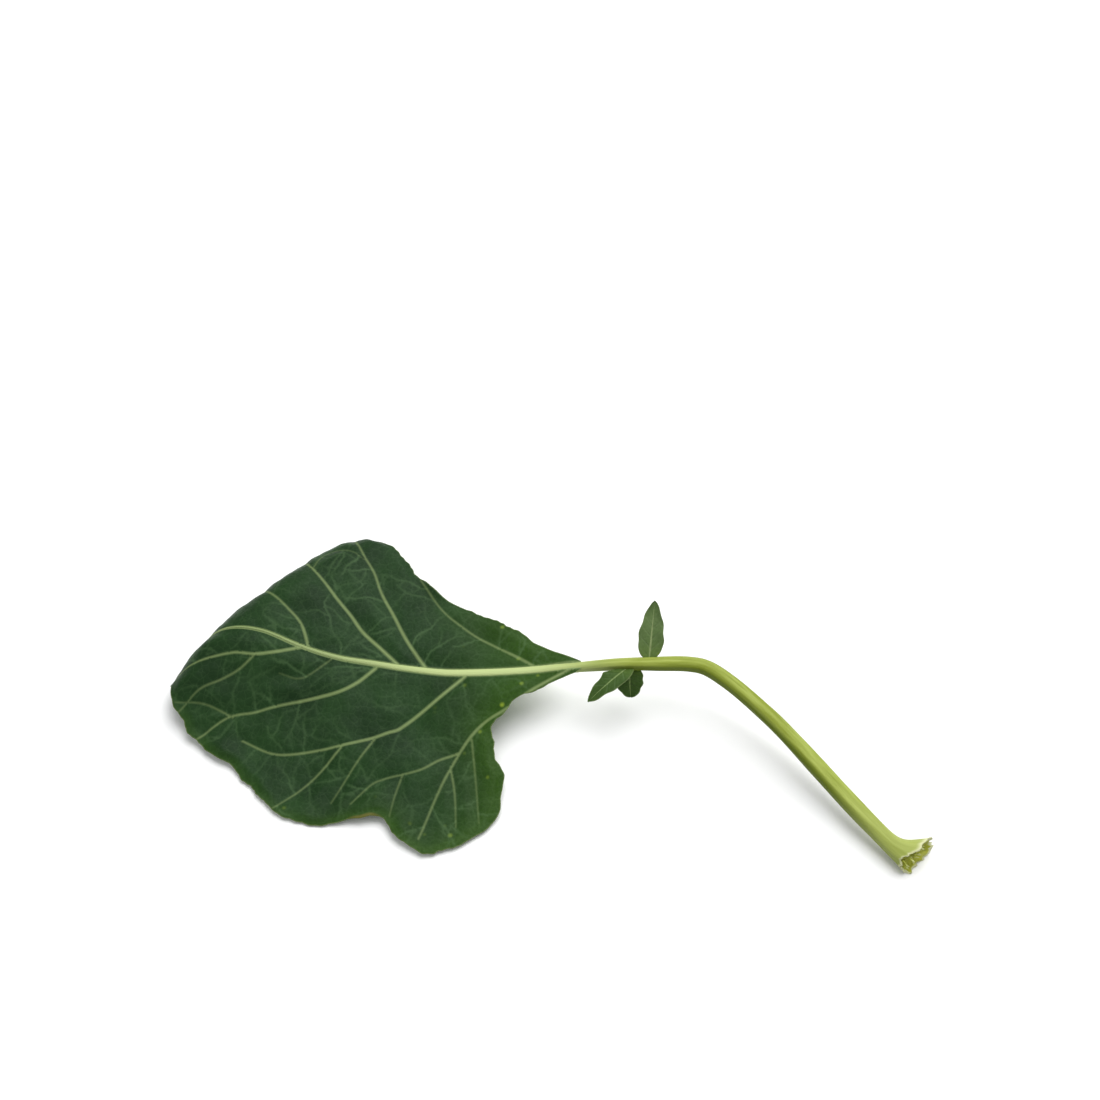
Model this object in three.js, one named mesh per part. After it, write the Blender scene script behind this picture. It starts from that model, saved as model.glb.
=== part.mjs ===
// A kohlrabi leaf lying on a flat surface, upper side up: a broad blade that is bent down
// along its far edge and tip, a midrib that runs on into a long stalk, a torn flared stalk
// end, and three small side lobes on the stalk.
//
// Millimetres. +X runs from the leaf's tip towards the stalk's end, +Y to its far side, +Z up.
// The blade is drawn flat, in leaf coordinates (u, v): u runs from the blade's foot to its tip
// and v across it, to the far side. place() then lays a flat point down in space.
import * as THREE from 'three';

// ---- Driving dimensions -------------------------------------------------------------------
const BLADE_LENGTH = 207;     // foot to tip, along the flat leaf
const BLADE_WIDTH = 176;      // margin to margin, across the flat leaf
const BLADE_THICKNESS = 0.9;
const STALK_REACH_X = 142;    // from the blade's foot to the stalk's end, along X
const STALK_REACH_Y = 90;     // and towards the near side
const STALK_WIDTH = 8.2;      // where the stalk is thickest, before the flare
const STALK_NECK_WIDTH = 5.7; // where it meets the blade
const RIB_WIDTH = 4.6;        // the midrib, a little way into the blade
const RIB_END_WIDTH = 1.2;    // the midrib where it fades out
const RIB_REACH = 0.9;        // share of the blade's length that the midrib runs
const RIB_RISE = 0.75;        // the midrib's top above the blade's middle surface
const FLARE_WIDTH = 18.5;     // across the torn mouth at the stalk's end
const FLARE_HEIGHT = 10.5;
const FLARE_LENGTH = 17;
const FLARE_WALL = 1.6;
const MOUTH_DEPTH = 9;        // how deep the torn mouth is
const CURL_RADIUS = 12;       // the far edge and the tip curl down and under, this wide
const CURL_ANGLE = THREE.MathUtils.degToRad(168);
const GAP = 0.3;              // clearance between neighbouring pieces
const SIDE_LOBE_THICKNESS = 0.9;

// ---- Grid steps ---------------------------------------------------------------------------
const RIB_ROWS = 41;          // from the foot to the midrib's end
const TIP_ROWS = 5;           // from there to the blade's tip
const BLADE_COLUMNS = 13;     // from the midrib to a margin
const STALK_STEP = 5;         // between the rings of the stalk
const STALK_SIDES = 18;
const LOBE_ROWS = 10;
const LOBE_COLUMNS = 8;

const HALF_WIDTH = BLADE_WIDTH / 2;
const RIB_END = RIB_REACH * BLADE_LENGTH;

// ---- The flat outline ---------------------------------------------------------------------
// Each entry is [foot, u, v]: a vein-wise line across the blade starts on the midrib at
// `foot` and ends on the margin at (u, v). foot and u are shares of BLADE_LENGTH, v is a
// share of HALF_WIDTH.
const NEAR_MARGIN = [
  [0.000, 0.010, 0.045], [0.035, 0.085, 0.115], [0.095, 0.130, 0.160], [0.155, 0.162, 0.225],
  [0.215, 0.190, 0.330], [0.245, 0.178, 0.450], [0.270, 0.162, 0.590], [0.295, 0.174, 0.750],
  [0.315, 0.208, 0.855], [0.335, 0.264, 0.935], [0.360, 0.320, 0.970], [0.385, 0.362, 0.930],
  [0.410, 0.395, 0.850], [0.435, 0.425, 0.772], [0.460, 0.468, 0.780], [0.500, 0.520, 0.800],
  [0.540, 0.572, 0.800], [0.585, 0.637, 0.745], [0.635, 0.690, 0.620], [0.690, 0.745, 0.480],
  [0.745, 0.800, 0.385], [0.800, 0.850, 0.275], [0.850, 0.890, 0.110], [0.895, 0.915, -0.030],
  [0.945, 0.955, -0.150], [1.000, 1.000, -0.260],
];
const FAR_MARGIN = [
  [0.000, 0.010, 0.045], [0.035, 0.060, 0.105], [0.080, 0.115, 0.205], [0.125, 0.175, 0.305],
  [0.175, 0.235, 0.390], [0.225, 0.290, 0.455], [0.275, 0.335, 0.545], [0.325, 0.378, 0.665],
  [0.375, 0.425, 0.805], [0.430, 0.485, 0.925], [0.490, 0.560, 1.000], [0.550, 0.630, 1.010],
  [0.610, 0.695, 0.975], [0.675, 0.760, 0.885], [0.740, 0.820, 0.770], [0.800, 0.875, 0.650],
  [0.860, 0.925, 0.530], [0.930, 0.970, 0.400], [1.000, 1.000, 0.260],
];
// The midrib's own gentle bow over the flat leaf, as [u, v] shares.
const MIDRIB = [
  [0, 0], [0.17, 0], [0.28, 0.01], [0.36, 0.035], [0.45, 0.068], [0.53, 0.095], [0.62, 0.15],
  [0.70, 0.22], [0.77, 0.25], [0.85, 0.258], [1, 0.26],
];

// ---- How the leaf lies --------------------------------------------------------------------
// Heights in mm of the blade's middle surface over the flat leaf, as [u share, v share, z];
// one below 0 presses that stretch flat on the surface.
const LIE = [
  [-0.06, 0.00, 23], [0.00, 0.00, 22], [0.09, 0.00, 19], [0.18, 0.00, 16.5], [0.36, 0.03, 14],
  [0.53, 0.09, 16], [0.68, 0.20, 22], [0.80, 0.25, 25], [0.92, 0.27, 26],
  [0.10, -0.15, 17], [0.19, -0.32, 10.5], [0.17, -0.58, 3], [0.21, -0.90, -1],
  [0.32, -0.98, -1.5], [0.32, -0.45, 6.5], [0.42, -0.75, 5.5], [0.46, -0.33, 8.5],
  [0.53, -0.80, -1.5], [0.61, -0.32, 7], [0.64, -0.74, -1.5], [0.72, -0.53, -1],
  [0.75, -0.18, 9.5], [0.80, -0.38, -0.8], [0.88, -0.18, 4], [0.90, 0.02, 11],
  [0.22, 0.36, 17], [0.31, 0.51, 16.5], [0.41, 0.76, 20], [0.39, 0.40, 17.5],
  [0.52, 0.84, 24], [0.54, 0.45, 20.5], [0.64, 0.66, 27], [0.73, 0.44, 27], [0.83, 0.18, 22],
];
const LIE_REACH = 17;         // how far each of those heights is felt
// The curl starts over two straight lines that run into each other in a rounded corner: each
// is a point on the flat leaf, in the same shares, and the direction the leaf falls away in.
const CURL_LINES = [
  { through: [0.880, -0.045], away: new THREE.Vector2(0.70, 0.714) },
  { through: [0.52, 0.805], away: new THREE.Vector2(0.0, 1.0) },
];
const CURL_ONSET = 6;         // how softly the curl sets in

// The stalk's middle line from the blade's foot to its end, as [x share, y share, z in mm].
const STALK_PATH = [
  [0.127, 0.000, 24.3], [0.243, 0.000, 25.8], [0.345, -0.010, 26.3], [0.440, -0.065, 25],
  [0.540, -0.178, 21.5], [0.650, -0.345, 16.5], [0.745, -0.525, 12.2], [0.845, -0.738, 8.6],
  [0.930, -0.905, 6.7], [1, -1, FLARE_HEIGHT / 2 - 0.2],
];

/** A smooth curve through rows of numbers, read by its first column. */
function rowCurve(rows) {
  return (key) => {
    const last = rows.length - 1;
    let i = 0;
    while (i < last - 1 && rows[i + 1][0] < key) i++;
    const share = THREE.MathUtils.clamp((key - rows[i][0]) / (rows[i + 1][0] - rows[i][0]), 0, 1);
    const before = rows[Math.max(i - 1, 0)];
    const after = rows[Math.min(i + 2, last)];
    return rows[i].slice(1).map((value, k) => {
      const next = rows[i + 1][k + 1];
      const width = rows[i + 1][0] - rows[i][0];
      const slopeIn = (next - before[k + 1]) / (rows[i + 1][0] - before[0] || 1) * width;
      const slopeOut = (after[k + 1] - value) / (after[0] - rows[i][0] || 1) * width;
      const s = share;
      return value * (2 * s ** 3 - 3 * s ** 2 + 1) + slopeIn * (s ** 3 - 2 * s ** 2 + s)
        + next * (3 * s ** 2 - 2 * s ** 3) + slopeOut * (s ** 3 - s ** 2);
    });
  };
}

const midribAt = rowCurve(MIDRIB);
const nearMarginAt = rowCurve(NEAR_MARGIN);
const farMarginAt = rowCurve(FAR_MARGIN);

/** The flat leaf's midrib point at a distance u from the foot. */
function midrib(u) {
  return new THREE.Vector2(u, midribAt(u / BLADE_LENGTH)[0] * HALF_WIDTH);
}

/** Height of the blade's middle surface before it is bent down. */
function lieHeight(u, v) {
  let sum = 0;
  let weight = 0;
  for (const [uShare, vShare, height] of LIE) {
    const away = Math.hypot(u - uShare * BLADE_LENGTH, v - vShare * HALF_WIDTH);
    const w = Math.exp(-0.5 * (away / LIE_REACH) ** 2);
    sum += w * height;
    weight += w;
  }
  return sum / weight;
}

/** Lays a point of the flat leaf down in space. */
function place(u, v) {
  const pull = CURL_LINES.map(({ through, away }) => Math.exp((
    away.x * (u - through[0] * BLADE_LENGTH) + away.y * (v - through[1] * HALF_WIDTH)
  ) / CURL_ONSET));
  const total = 1 + pull[0] + pull[1];
  const away = new THREE.Vector2();
  CURL_LINES.forEach((line, k) => away.addScaledVector(line.away, pull[k] / total));
  const run = CURL_ONSET * Math.log(total);
  // The curl keeps the height of the point it leaves the open blade at.
  const leave = new THREE.Vector2(u, v).addScaledVector(away, -run);
  const open = lieHeight(leave.x, leave.y);
  const radius = Math.min(CURL_RADIUS, open / 2);
  const turn = Math.min(run / radius, CURL_ANGLE);
  const straight = run - turn * radius;
  leave.addScaledVector(away, radius * Math.sin(turn) + straight * Math.cos(turn));
  const height = open - radius * (1 - Math.cos(turn)) - straight * Math.sin(turn);
  // Where the blade comes down to the surface, its underside lies on it.
  const rest = BLADE_THICKNESS / 2;
  const above = (height - rest + Math.hypot(height - rest, BLADE_THICKNESS)) / 2;
  return new THREE.Vector3(-leave.x, leave.y, rest + above);
}

/** Direction the blade's upper side faces at a point of the flat leaf. */
function upward(u, v) {
  const step = 0.5;
  const along = place(u - step, v).sub(place(u + step, v));
  const across = place(u, v + step).sub(place(u, v - step));
  return along.cross(across).normalize();
}

/** Turns an open sheet of triangles into a closed solid of even thickness. */
function thicken(points, triangles, thickness) {
  const normals = points.map(() => new THREE.Vector3());
  const edges = new Map();
  for (const [a, b, c] of triangles) {
    const ab = points[b].clone().sub(points[a]);
    const normal = ab.cross(points[c].clone().sub(points[a]));
    for (const corner of [a, b, c]) normals[corner].add(normal);
    for (const [from, to] of [[a, b], [b, c], [c, a]]) {
      if (!edges.delete(`${to},${from}`)) edges.set(`${from},${to}`, [from, to]);
    }
  }
  const position = [];
  for (const side of [0.5, -0.5]) {
    points.forEach((point, i) => {
      const lifted = point.clone().addScaledVector(normals[i].normalize(), side * thickness);
      position.push(...lifted.toArray());
    });
  }
  const under = points.length;
  const index = [];
  for (const [a, b, c] of triangles) index.push(a, b, c, under + c, under + b, under + a);
  for (const [from, to] of edges.values()) {
    index.push(from, under + from, to, to, under + from, under + to);
  }
  return solid(position, index);
}

function solid(position, index) {
  const geometry = new THREE.BufferGeometry();
  geometry.setAttribute('position', new THREE.Float32BufferAttribute(position, 3));
  geometry.setIndex(index);
  geometry.computeVertexNormals();
  return geometry;
}

// ---- The midrib and the stalk -------------------------------------------------------------
const RIB_HALF_WIDTH = rowCurve([
  [0, STALK_NECK_WIDTH / 2], [0.12, RIB_WIDTH / 2], [0.45, RIB_WIDTH * 0.37],
  [0.75, RIB_WIDTH * 0.22], [RIB_REACH, RIB_END_WIDTH / 2],
]);
const RIB_DEPTH = rowCurve([
  [0, STALK_NECK_WIDTH * 0.56], [0.12, RIB_WIDTH * 0.8], [0.45, RIB_WIDTH * 0.56],
  [0.75, RIB_WIDTH * 0.34], [RIB_REACH, RIB_END_WIDTH * 0.6],
]);

// Its top above the blade's middle surface; where it fades out it is flush with the blade.
const RIB_TOP = rowCurve([
  [0, STALK_NECK_WIDTH * 0.46], [0.14, RIB_RISE], [0.75, RIB_RISE * 0.85],
  [RIB_REACH, BLADE_THICKNESS / 2],
]);

/** Half the midrib's width at a distance u from the foot. */
const ribHalfWidth = (u) => RIB_HALF_WIDTH(Math.min(u / BLADE_LENGTH, RIB_REACH))[0];

/** Where the blade's rows and the midrib's rings cross the midrib, as distances u. */
const ribRow = (i) => (i / (RIB_ROWS - 1)) * RIB_END;

/** A point of the flat leaf beside the midrib, `aside` to the far side of it. */
function besideMidrib(u, aside) {
  const along = midrib(u + 0.5).sub(midrib(u - 0.5)).normalize();
  return midrib(u).add(new THREE.Vector2(-along.y, along.x).multiplyScalar(aside));
}

/** A ring of the stalk: an oval round `middle`, flatter above it than below. */
function ring(middle, side, up, { half, rise, depth, lean = () => 0, forward }) {
  return Array.from({ length: STALK_SIDES }, (_, k) => {
    const angle = (k / STALK_SIDES) * 2 * Math.PI;
    const height = Math.sin(angle) * (Math.sin(angle) > 0 ? rise : depth);
    const point = middle.clone().addScaledVector(side, half * Math.cos(angle))
      .addScaledVector(up, height);
    return forward ? point.addScaledVector(forward, lean(angle)) : point;
  });
}

/** Joins rings into one closed body, with a middle point at each end. */
function loft(rings, first, last) {
  const position = [...rings.flat(), first, last].flatMap((p) => p.toArray());
  const index = [];
  const count = rings.length * STALK_SIDES;
  for (let k = 0; k < STALK_SIDES; k++) {
    const next = (k + 1) % STALK_SIDES;
    for (let i = 0; i + 1 < rings.length; i++) {
      const a = i * STALK_SIDES;
      index.push(a + k, a + next, a + STALK_SIDES + k);
      index.push(a + next, a + STALK_SIDES + next, a + STALK_SIDES + k);
    }
    const end = (rings.length - 1) * STALK_SIDES;
    index.push(count, next, k, count + 1, end + k, end + next);
  }
  return solid(position, index);
}

const UP = new THREE.Vector3(0, 0, 1);
const FOOT = place(0, 0);
const STALK_LINE = new THREE.CatmullRomCurve3([
  place(0.08 * BLADE_LENGTH, 0), FOOT,
  ...STALK_PATH.map(([x, y, z]) => new THREE.Vector3(x * STALK_REACH_X, y * STALK_REACH_Y, z)),
], false, 'centripetal');
const LINE_LENGTH = STALK_LINE.getLength();
const FOOT_ALONG = STALK_LINE.points[0].distanceTo(FOOT);
const STALK_LENGTH = LINE_LENGTH - FOOT_ALONG;

/** The stalk's middle point and its directions at a distance from the foot. */
function stalkFrame(distance) {
  const share = THREE.MathUtils.clamp((FOOT_ALONG + distance) / LINE_LENGTH, 0, 1);
  const middle = STALK_LINE.getPointAt(share);
  const forward = STALK_LINE.getTangentAt(share);
  const side = UP.clone().cross(forward).normalize();
  return { middle, forward, side, up: forward.clone().cross(side).normalize() };
}

/** Half the stalk's width at a distance from the foot, without the flare. */
const STALK_HALF_WIDTH = rowCurve([
  [0, STALK_NECK_WIDTH / 2], [0.3, STALK_NECK_WIDTH * 0.53], [0.5, STALK_WIDTH * 0.41],
  [0.75, STALK_WIDTH * 0.48], [1, STALK_WIDTH / 2],
]);
const stalkHalfWidth = (distance) => STALK_HALF_WIDTH(distance / STALK_LENGTH)[0];

/** How far the torn rim stands out past the stalk's end, round the mouth. */
const tornRim = (angle) => 1.6 * Math.sin(2 * angle + 0.6) + 1.1 * Math.sin(5 * angle);

function stalk() {
  const rings = [];
  for (let i = RIB_ROWS - 1; i > 0; i--) {
    const u = ribRow(i);
    const slot = ribHalfWidth(u) + GAP;
    const [near, far] = [-slot, slot].map((aside) => {
      const edge = besideMidrib(u, aside);
      return place(edge.x, edge.y);
    });
    const side = far.clone().sub(near).normalize();
    const up = upward(u, midrib(u).y);
    up.addScaledVector(side, -up.dot(side)).normalize();
    const share = u / BLADE_LENGTH;
    rings.push(ring(near.clone().lerp(far, 0.5), side, up, {
      half: near.distanceTo(far) / 2 - GAP, rise: RIB_TOP(share)[0], depth: RIB_DEPTH(share)[0],
    }));
  }
  const steps = Math.round(STALK_LENGTH / STALK_STEP);
  for (let i = 0; i < steps; i++) {
    const distance = (i / steps) * STALK_LENGTH;
    const { middle, side, up } = stalkFrame(distance);
    const flare = Math.max(0, 1 - (STALK_LENGTH - distance) / FLARE_LENGTH) ** 2;
    const half = stalkHalfWidth(distance);
    rings.push(ring(middle, side, up, {
      half: THREE.MathUtils.lerp(half, FLARE_WIDTH / 2, flare),
      rise: THREE.MathUtils.lerp(half * 0.92, FLARE_HEIGHT / 2, flare),
      depth: THREE.MathUtils.lerp(half * 0.98, FLARE_HEIGHT / 2, flare),
    }));
  }
  const end = stalkFrame(STALK_LENGTH);
  for (const [wall, deep] of [[0, 0], [FLARE_WALL, 0], [FLARE_WALL, 0.5], [FLARE_WALL + 1.4, 1]]) {
    const half = THREE.MathUtils.lerp(FLARE_WIDTH, STALK_WIDTH * 1.1, deep) / 2 - wall;
    const high = THREE.MathUtils.lerp(FLARE_HEIGHT, STALK_WIDTH, deep) / 2 - wall;
    const middle = end.middle.clone().addScaledVector(end.forward, -deep * MOUTH_DEPTH);
    rings.push(ring(middle, end.side, end.up, {
      half, rise: high, depth: high, forward: end.forward,
      lean: (angle) => tornRim(angle) * (1 - deep),
    }));
  }
  const ribTip = place(midrib(RIB_END).x, midrib(RIB_END).y);
  const beyond = place(midrib(RIB_END + 1).x, midrib(RIB_END + 1).y).sub(ribTip).normalize();
  return loft(rings, ribTip.addScaledVector(beyond, GAP),
    end.middle.clone().addScaledVector(end.forward, -MOUTH_DEPTH - 0.5));
}

function blade() {
  const points = [];
  const flat = (u, v) => points.push(place(u, v)) - 1;
  const rows = [];
  for (let i = 0; i < RIB_ROWS + TIP_ROWS; i++) {
    const open = i < RIB_ROWS;
    const u = open ? ribRow(i)
      : THREE.MathUtils.lerp(RIB_END, BLADE_LENGTH, (i - RIB_ROWS + 1) / TIP_ROWS);
    const share = u / BLADE_LENGTH;
    const slot = open ? ribHalfWidth(u) + GAP : 0;
    const sides = [[nearMarginAt, -1], [farMarginAt, 1]].map(([marginAt, hand]) => {
      const [uShare, vShare] = marginAt(share);
      const end = new THREE.Vector2(uShare * BLADE_LENGTH, hand * vShare * HALF_WIDTH);
      const start = besideMidrib(u, hand * slot);
      return Array.from({ length: BLADE_COLUMNS + 1 },
        (_, j) => start.clone().lerp(end, j / BLADE_COLUMNS));
    });
    rows.push({ sides, open });
  }
  const grid = rows.map(({ sides, open }) => {
    const near = sides[0].map((p) => flat(p.x, p.y));
    const far = sides[1].map((p, j) => (j === 0 && !open ? near[0] : flat(p.x, p.y)));
    return [near, far];
  });
  const triangles = [];
  for (let i = 0; i + 1 < grid.length; i++) {
    for (let j = 0; j < BLADE_COLUMNS; j++) {
      const quad = (side) => [grid[i][side][j], grid[i + 1][side][j],
        grid[i + 1][side][j + 1], grid[i][side][j + 1]];
      const [a, b, c, d] = quad(0);
      triangles.push([a, b, c], [a, c, d]);
      const [e, f, g, h] = quad(1);
      triangles.push([e, g, f], [e, h, g]);
    }
  }
  return thicken(points, triangles, BLADE_THICKNESS);
}

// ---- The side lobes -----------------------------------------------------------------------
// hand: 1 on the far side, -1 on the near side; lift: angle above the horizontal at the root;
// sweep: how far the tip lies towards the blade, in lobe lengths; droop: how far the tip sags.
const SIDE_LOBES = [
  { name: 'side_lobe_far', at: 32, hand: 1, lift: 42, length: 27.5, width: 10.5, root: 5,
    sweep: -0.1, droop: 2, cup: 1.6 },
  { name: 'side_lobe_near_long', at: 25, hand: -1, lift: 0, length: 22, width: 8.5, root: 5,
    sweep: 1.4, droop: 4, cup: 0.8 },
  { name: 'side_lobe_near_round', at: 20.5, hand: -1, lift: -64, length: 13.5, width: 11, root: 3.5,
    sweep: 0.1, droop: -1.5, cup: 1.2 },
];

function sideLobe({ at, hand, lift, length, width, root, sweep, droop, cup }) {
  const { middle, forward, side, up } = stalkFrame(at);
  const angle = THREE.MathUtils.degToRad(lift);
  const out = side.clone().multiplyScalar(hand * Math.cos(angle))
    .addScaledVector(up, Math.sin(angle));
  const foot = middle.clone().addScaledVector(out, stalkHalfWidth(at) + GAP);
  const run = out.clone().addScaledVector(forward, -sweep).normalize();
  const straight = forward.clone().addScaledVector(run, -run.dot(forward)).normalize();
  const face = run.clone().cross(straight).multiplyScalar(hand);
  const points = [];
  const triangles = [];
  for (let i = 0; i <= LOBE_ROWS; i++) {
    const t = i / LOBE_ROWS;
    const half = Math.max(0.6, root / 2 * (1 - t), width / 2 * Math.sin(Math.PI * t ** 0.75) ** 0.8);
    const across = forward.clone().lerp(straight, Math.min(1, 2 * t)).normalize();
    for (let j = 0; j <= LOBE_COLUMNS; j++) {
      const w = 2 * j / LOBE_COLUMNS - 1;
      points.push(foot.clone().addScaledVector(run, length * t).addScaledVector(UP, -droop * t * t)
        .addScaledVector(across, half * w).addScaledVector(face, -cup * w * w * Math.min(1, 2 * t)));
      if (i < LOBE_ROWS && j < LOBE_COLUMNS) {
        const a = i * (LOBE_COLUMNS + 1) + j;
        const b = a + LOBE_COLUMNS + 1;
        triangles.push([a, b, b + 1], [a, b + 1, a + 1]);
      }
    }
  }
  return thicken(points, triangles, SIDE_LOBE_THICKNESS);
}

// ---- The object ---------------------------------------------------------------------------
const PIECES = [
  { name: 'blade', geometry: blade(), color: 0x2f4a30, roughness: 0.55 },
  { name: 'stalk', geometry: stalk(), color: 0xb4c46c, roughness: 0.5 },
  ...SIDE_LOBES.map((lobe) => (
    { name: lobe.name, geometry: sideLobe(lobe), color: 0x4d6b42, roughness: 0.6 })),
];
const leaf = new THREE.Group();
for (const { name, geometry, color, roughness } of PIECES) {
  const mesh = new THREE.Mesh(geometry,
    new THREE.MeshStandardMaterial({ color, roughness, metalness: 0 }));
  mesh.name = name;
  leaf.add(mesh);
}
// The origin is under the middle of the leaf, on the surface it lies on.
const bounds = new THREE.Box3().setFromObject(leaf, true);
const middle = bounds.getCenter(new THREE.Vector3());
leaf.position.set(-middle.x, -middle.y, -bounds.min.z);

export default leaf;
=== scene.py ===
# %% [markdown]
# # A kohlrabi leaf
# The leaf lies upper side up on a pale surface. It is a broad waxy blade whose far edge and tip
# have sagged under their own weight, a pale midrib that runs on into a long crisp stalk, three
# small side lobes on that stalk, and the torn, flared sheath where it was pulled off its plant.
# The frame holds the simple solids that carry the leaf's size and collisions. Every piece here is
# laid on them, so it is in place without any fitting.

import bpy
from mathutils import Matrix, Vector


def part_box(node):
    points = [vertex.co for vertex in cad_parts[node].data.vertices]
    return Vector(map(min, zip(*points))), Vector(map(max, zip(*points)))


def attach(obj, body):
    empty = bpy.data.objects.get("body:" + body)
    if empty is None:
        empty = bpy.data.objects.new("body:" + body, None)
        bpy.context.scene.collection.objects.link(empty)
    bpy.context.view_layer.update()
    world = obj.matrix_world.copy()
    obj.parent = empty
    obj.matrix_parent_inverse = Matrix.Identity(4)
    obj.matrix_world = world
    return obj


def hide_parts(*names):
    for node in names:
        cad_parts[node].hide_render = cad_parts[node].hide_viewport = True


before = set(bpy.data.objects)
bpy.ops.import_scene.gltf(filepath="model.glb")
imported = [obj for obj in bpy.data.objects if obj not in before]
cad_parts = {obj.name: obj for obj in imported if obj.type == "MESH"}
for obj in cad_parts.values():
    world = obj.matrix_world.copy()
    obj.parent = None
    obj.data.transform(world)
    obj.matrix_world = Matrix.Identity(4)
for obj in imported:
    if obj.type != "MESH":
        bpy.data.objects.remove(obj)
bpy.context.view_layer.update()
print("frame nodes:", ", ".join(sorted(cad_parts)))

# %% [markdown]
# ## Tools for shaping
# Plants are drawn with curves, not with boxes, so most sizes here are read off smooth curves
# through a few rows of numbers. Shapes are worked out in millimetres with numpy, which handles
# thousands of points at once, and become metres only when a mesh is made.

# %% Libraries and the curve reader
import math

import bpy
import numpy as np
from mathutils import Vector, noise
from mathutils.geometry import delaunay_2d_cdt
from mathutils.kdtree import KDTree

MM = 0.001                       # a millimetre in metres


def row_curve(rows):
    """A smooth curve through rows of numbers, read by their first column."""
    rows = np.asarray(rows, float)
    keys, values = rows[:, 0], rows[:, 1:]
    last = len(keys) - 1

    def read(key):
        key = np.atleast_1d(np.asarray(key, float))
        i = np.clip(np.searchsorted(keys, key, side="right") - 1, 0, last - 1)
        before, after = np.maximum(i - 1, 0), np.minimum(i + 2, last)
        width = keys[i + 1] - keys[i]
        s = np.clip((key - keys[i]) / width, 0, 1)[:, None]
        lead = (values[i + 1] - values[before]) * (width / (keys[i + 1] - keys[before]))[:, None]
        trail = (values[after] - values[i]) * (width / (keys[after] - keys[i]))[:, None]
        return (values[i] * (2 * s**3 - 3 * s**2 + 1) + lead * (s**3 - 2 * s**2 + s)
                + values[i + 1] * (3 * s**2 - 2 * s**3) + trail * (s**3 - s**2))

    return read


def smooth(low, high, value):
    """0 below low, 1 above high, with a soft ramp between."""
    t = np.clip((np.asarray(value, float) - low) / (high - low), 0, 1)
    return t * t * (3 - 2 * t)


def unit(vectors):
    return vectors / np.maximum(np.linalg.norm(vectors, axis=-1, keepdims=True), 1e-9)


def ripple(points, wavelength, seed):
    """Gentle random waves over flat points, between about -1 and 1."""
    return 2 * np.array([noise.noise(Vector((x + 7.3 * seed, y - 3.1 * seed, seed)))
                         for x, y in points / wavelength])


# %% Lines through points
def spline(points, per_span=24):
    """A dense smooth line through points, with even tension whatever their spacing."""
    points = np.asarray(points, float)
    ends = np.vstack([2 * points[0] - points[1], points, 2 * points[-1] - points[-2]])
    line = []
    for p0, p1, p2, p3 in zip(ends, ends[1:], ends[2:], ends[3:]):
        d0, d1, d2 = (np.linalg.norm(b - a) ** 0.5 for a, b in ((p0, p1), (p1, p2), (p2, p3)))
        m1 = ((p1 - p0) / d0 - (p2 - p0) / (d0 + d1) + (p2 - p1) / d1) * d1
        m2 = ((p2 - p1) / d1 - (p3 - p1) / (d1 + d2) + (p3 - p2) / d2) * d1
        s = np.linspace(0, 1, per_span, endpoint=False)[:, None]
        line.append(p1 + m1 * s + (3 * (p2 - p1) - 2 * m1 - m2) * s**2
                    + (2 * (p1 - p2) + m1 + m2) * s**3)
    return np.vstack(line + [points[-1:]])


def lengths_along(line):
    return np.concatenate([[0], np.cumsum(np.linalg.norm(np.diff(line, axis=0), axis=1))])


def evenly(line, spacing):
    """The same line with points about this far apart."""
    run = lengths_along(line)
    stops = np.linspace(0, run[-1], max(2, round(run[-1] / spacing) + 1))
    return np.column_stack([np.interp(stops, run, line[:, k]) for k in range(line.shape[1])])


print("a test line of", len(evenly(spline([(0, 0), (5, 2), (9, 9)]), 1.0)), "points")

# %% [markdown]
# ## The flat leaf
# A leaf is a flat thing that has been bent, and its veins follow its own length and width, not
# the room's. So the blade is drawn flat first, in leaf coordinates: u runs from the foot of the
# blade to its tip, v across it to the far side. Bending comes later, in one place, and carries
# the outline, the veins and the colours along with it.

# %% The leaf's own sizes
BLADE_LENGTH = 207.0             # foot to tip, flat
HALF_WIDTH = 88.0                # midrib to the widest point of a margin
RIB_END = 0.9 * BLADE_LENGTH     # where the midrib fades out
SHEET = 0.55                     # thickness of the blade
FRAME_SHEET = 0.9                # thickness of the frame's stand-in for it

# A line across the blade starts on the midrib at the first number and ends on the margin at the
# other two. The first two are shares of the blade's length, the last of its half width.
NEAR_MARGIN = row_curve([
    (0.000, 0.010, 0.045), (0.035, 0.085, 0.115), (0.095, 0.130, 0.160), (0.155, 0.162, 0.225),
    (0.215, 0.190, 0.330), (0.245, 0.178, 0.450), (0.270, 0.162, 0.590), (0.295, 0.174, 0.750),
    (0.315, 0.208, 0.855), (0.335, 0.264, 0.935), (0.360, 0.320, 0.970), (0.385, 0.362, 0.930),
    (0.410, 0.395, 0.850), (0.435, 0.425, 0.772), (0.460, 0.468, 0.780), (0.500, 0.520, 0.800),
    (0.540, 0.572, 0.800), (0.585, 0.637, 0.745), (0.635, 0.690, 0.620), (0.690, 0.745, 0.480),
    (0.745, 0.800, 0.385), (0.800, 0.850, 0.275), (0.850, 0.890, 0.110), (0.895, 0.915, -0.030),
    (0.945, 0.955, -0.150), (1.000, 1.000, -0.260),
])
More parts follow.
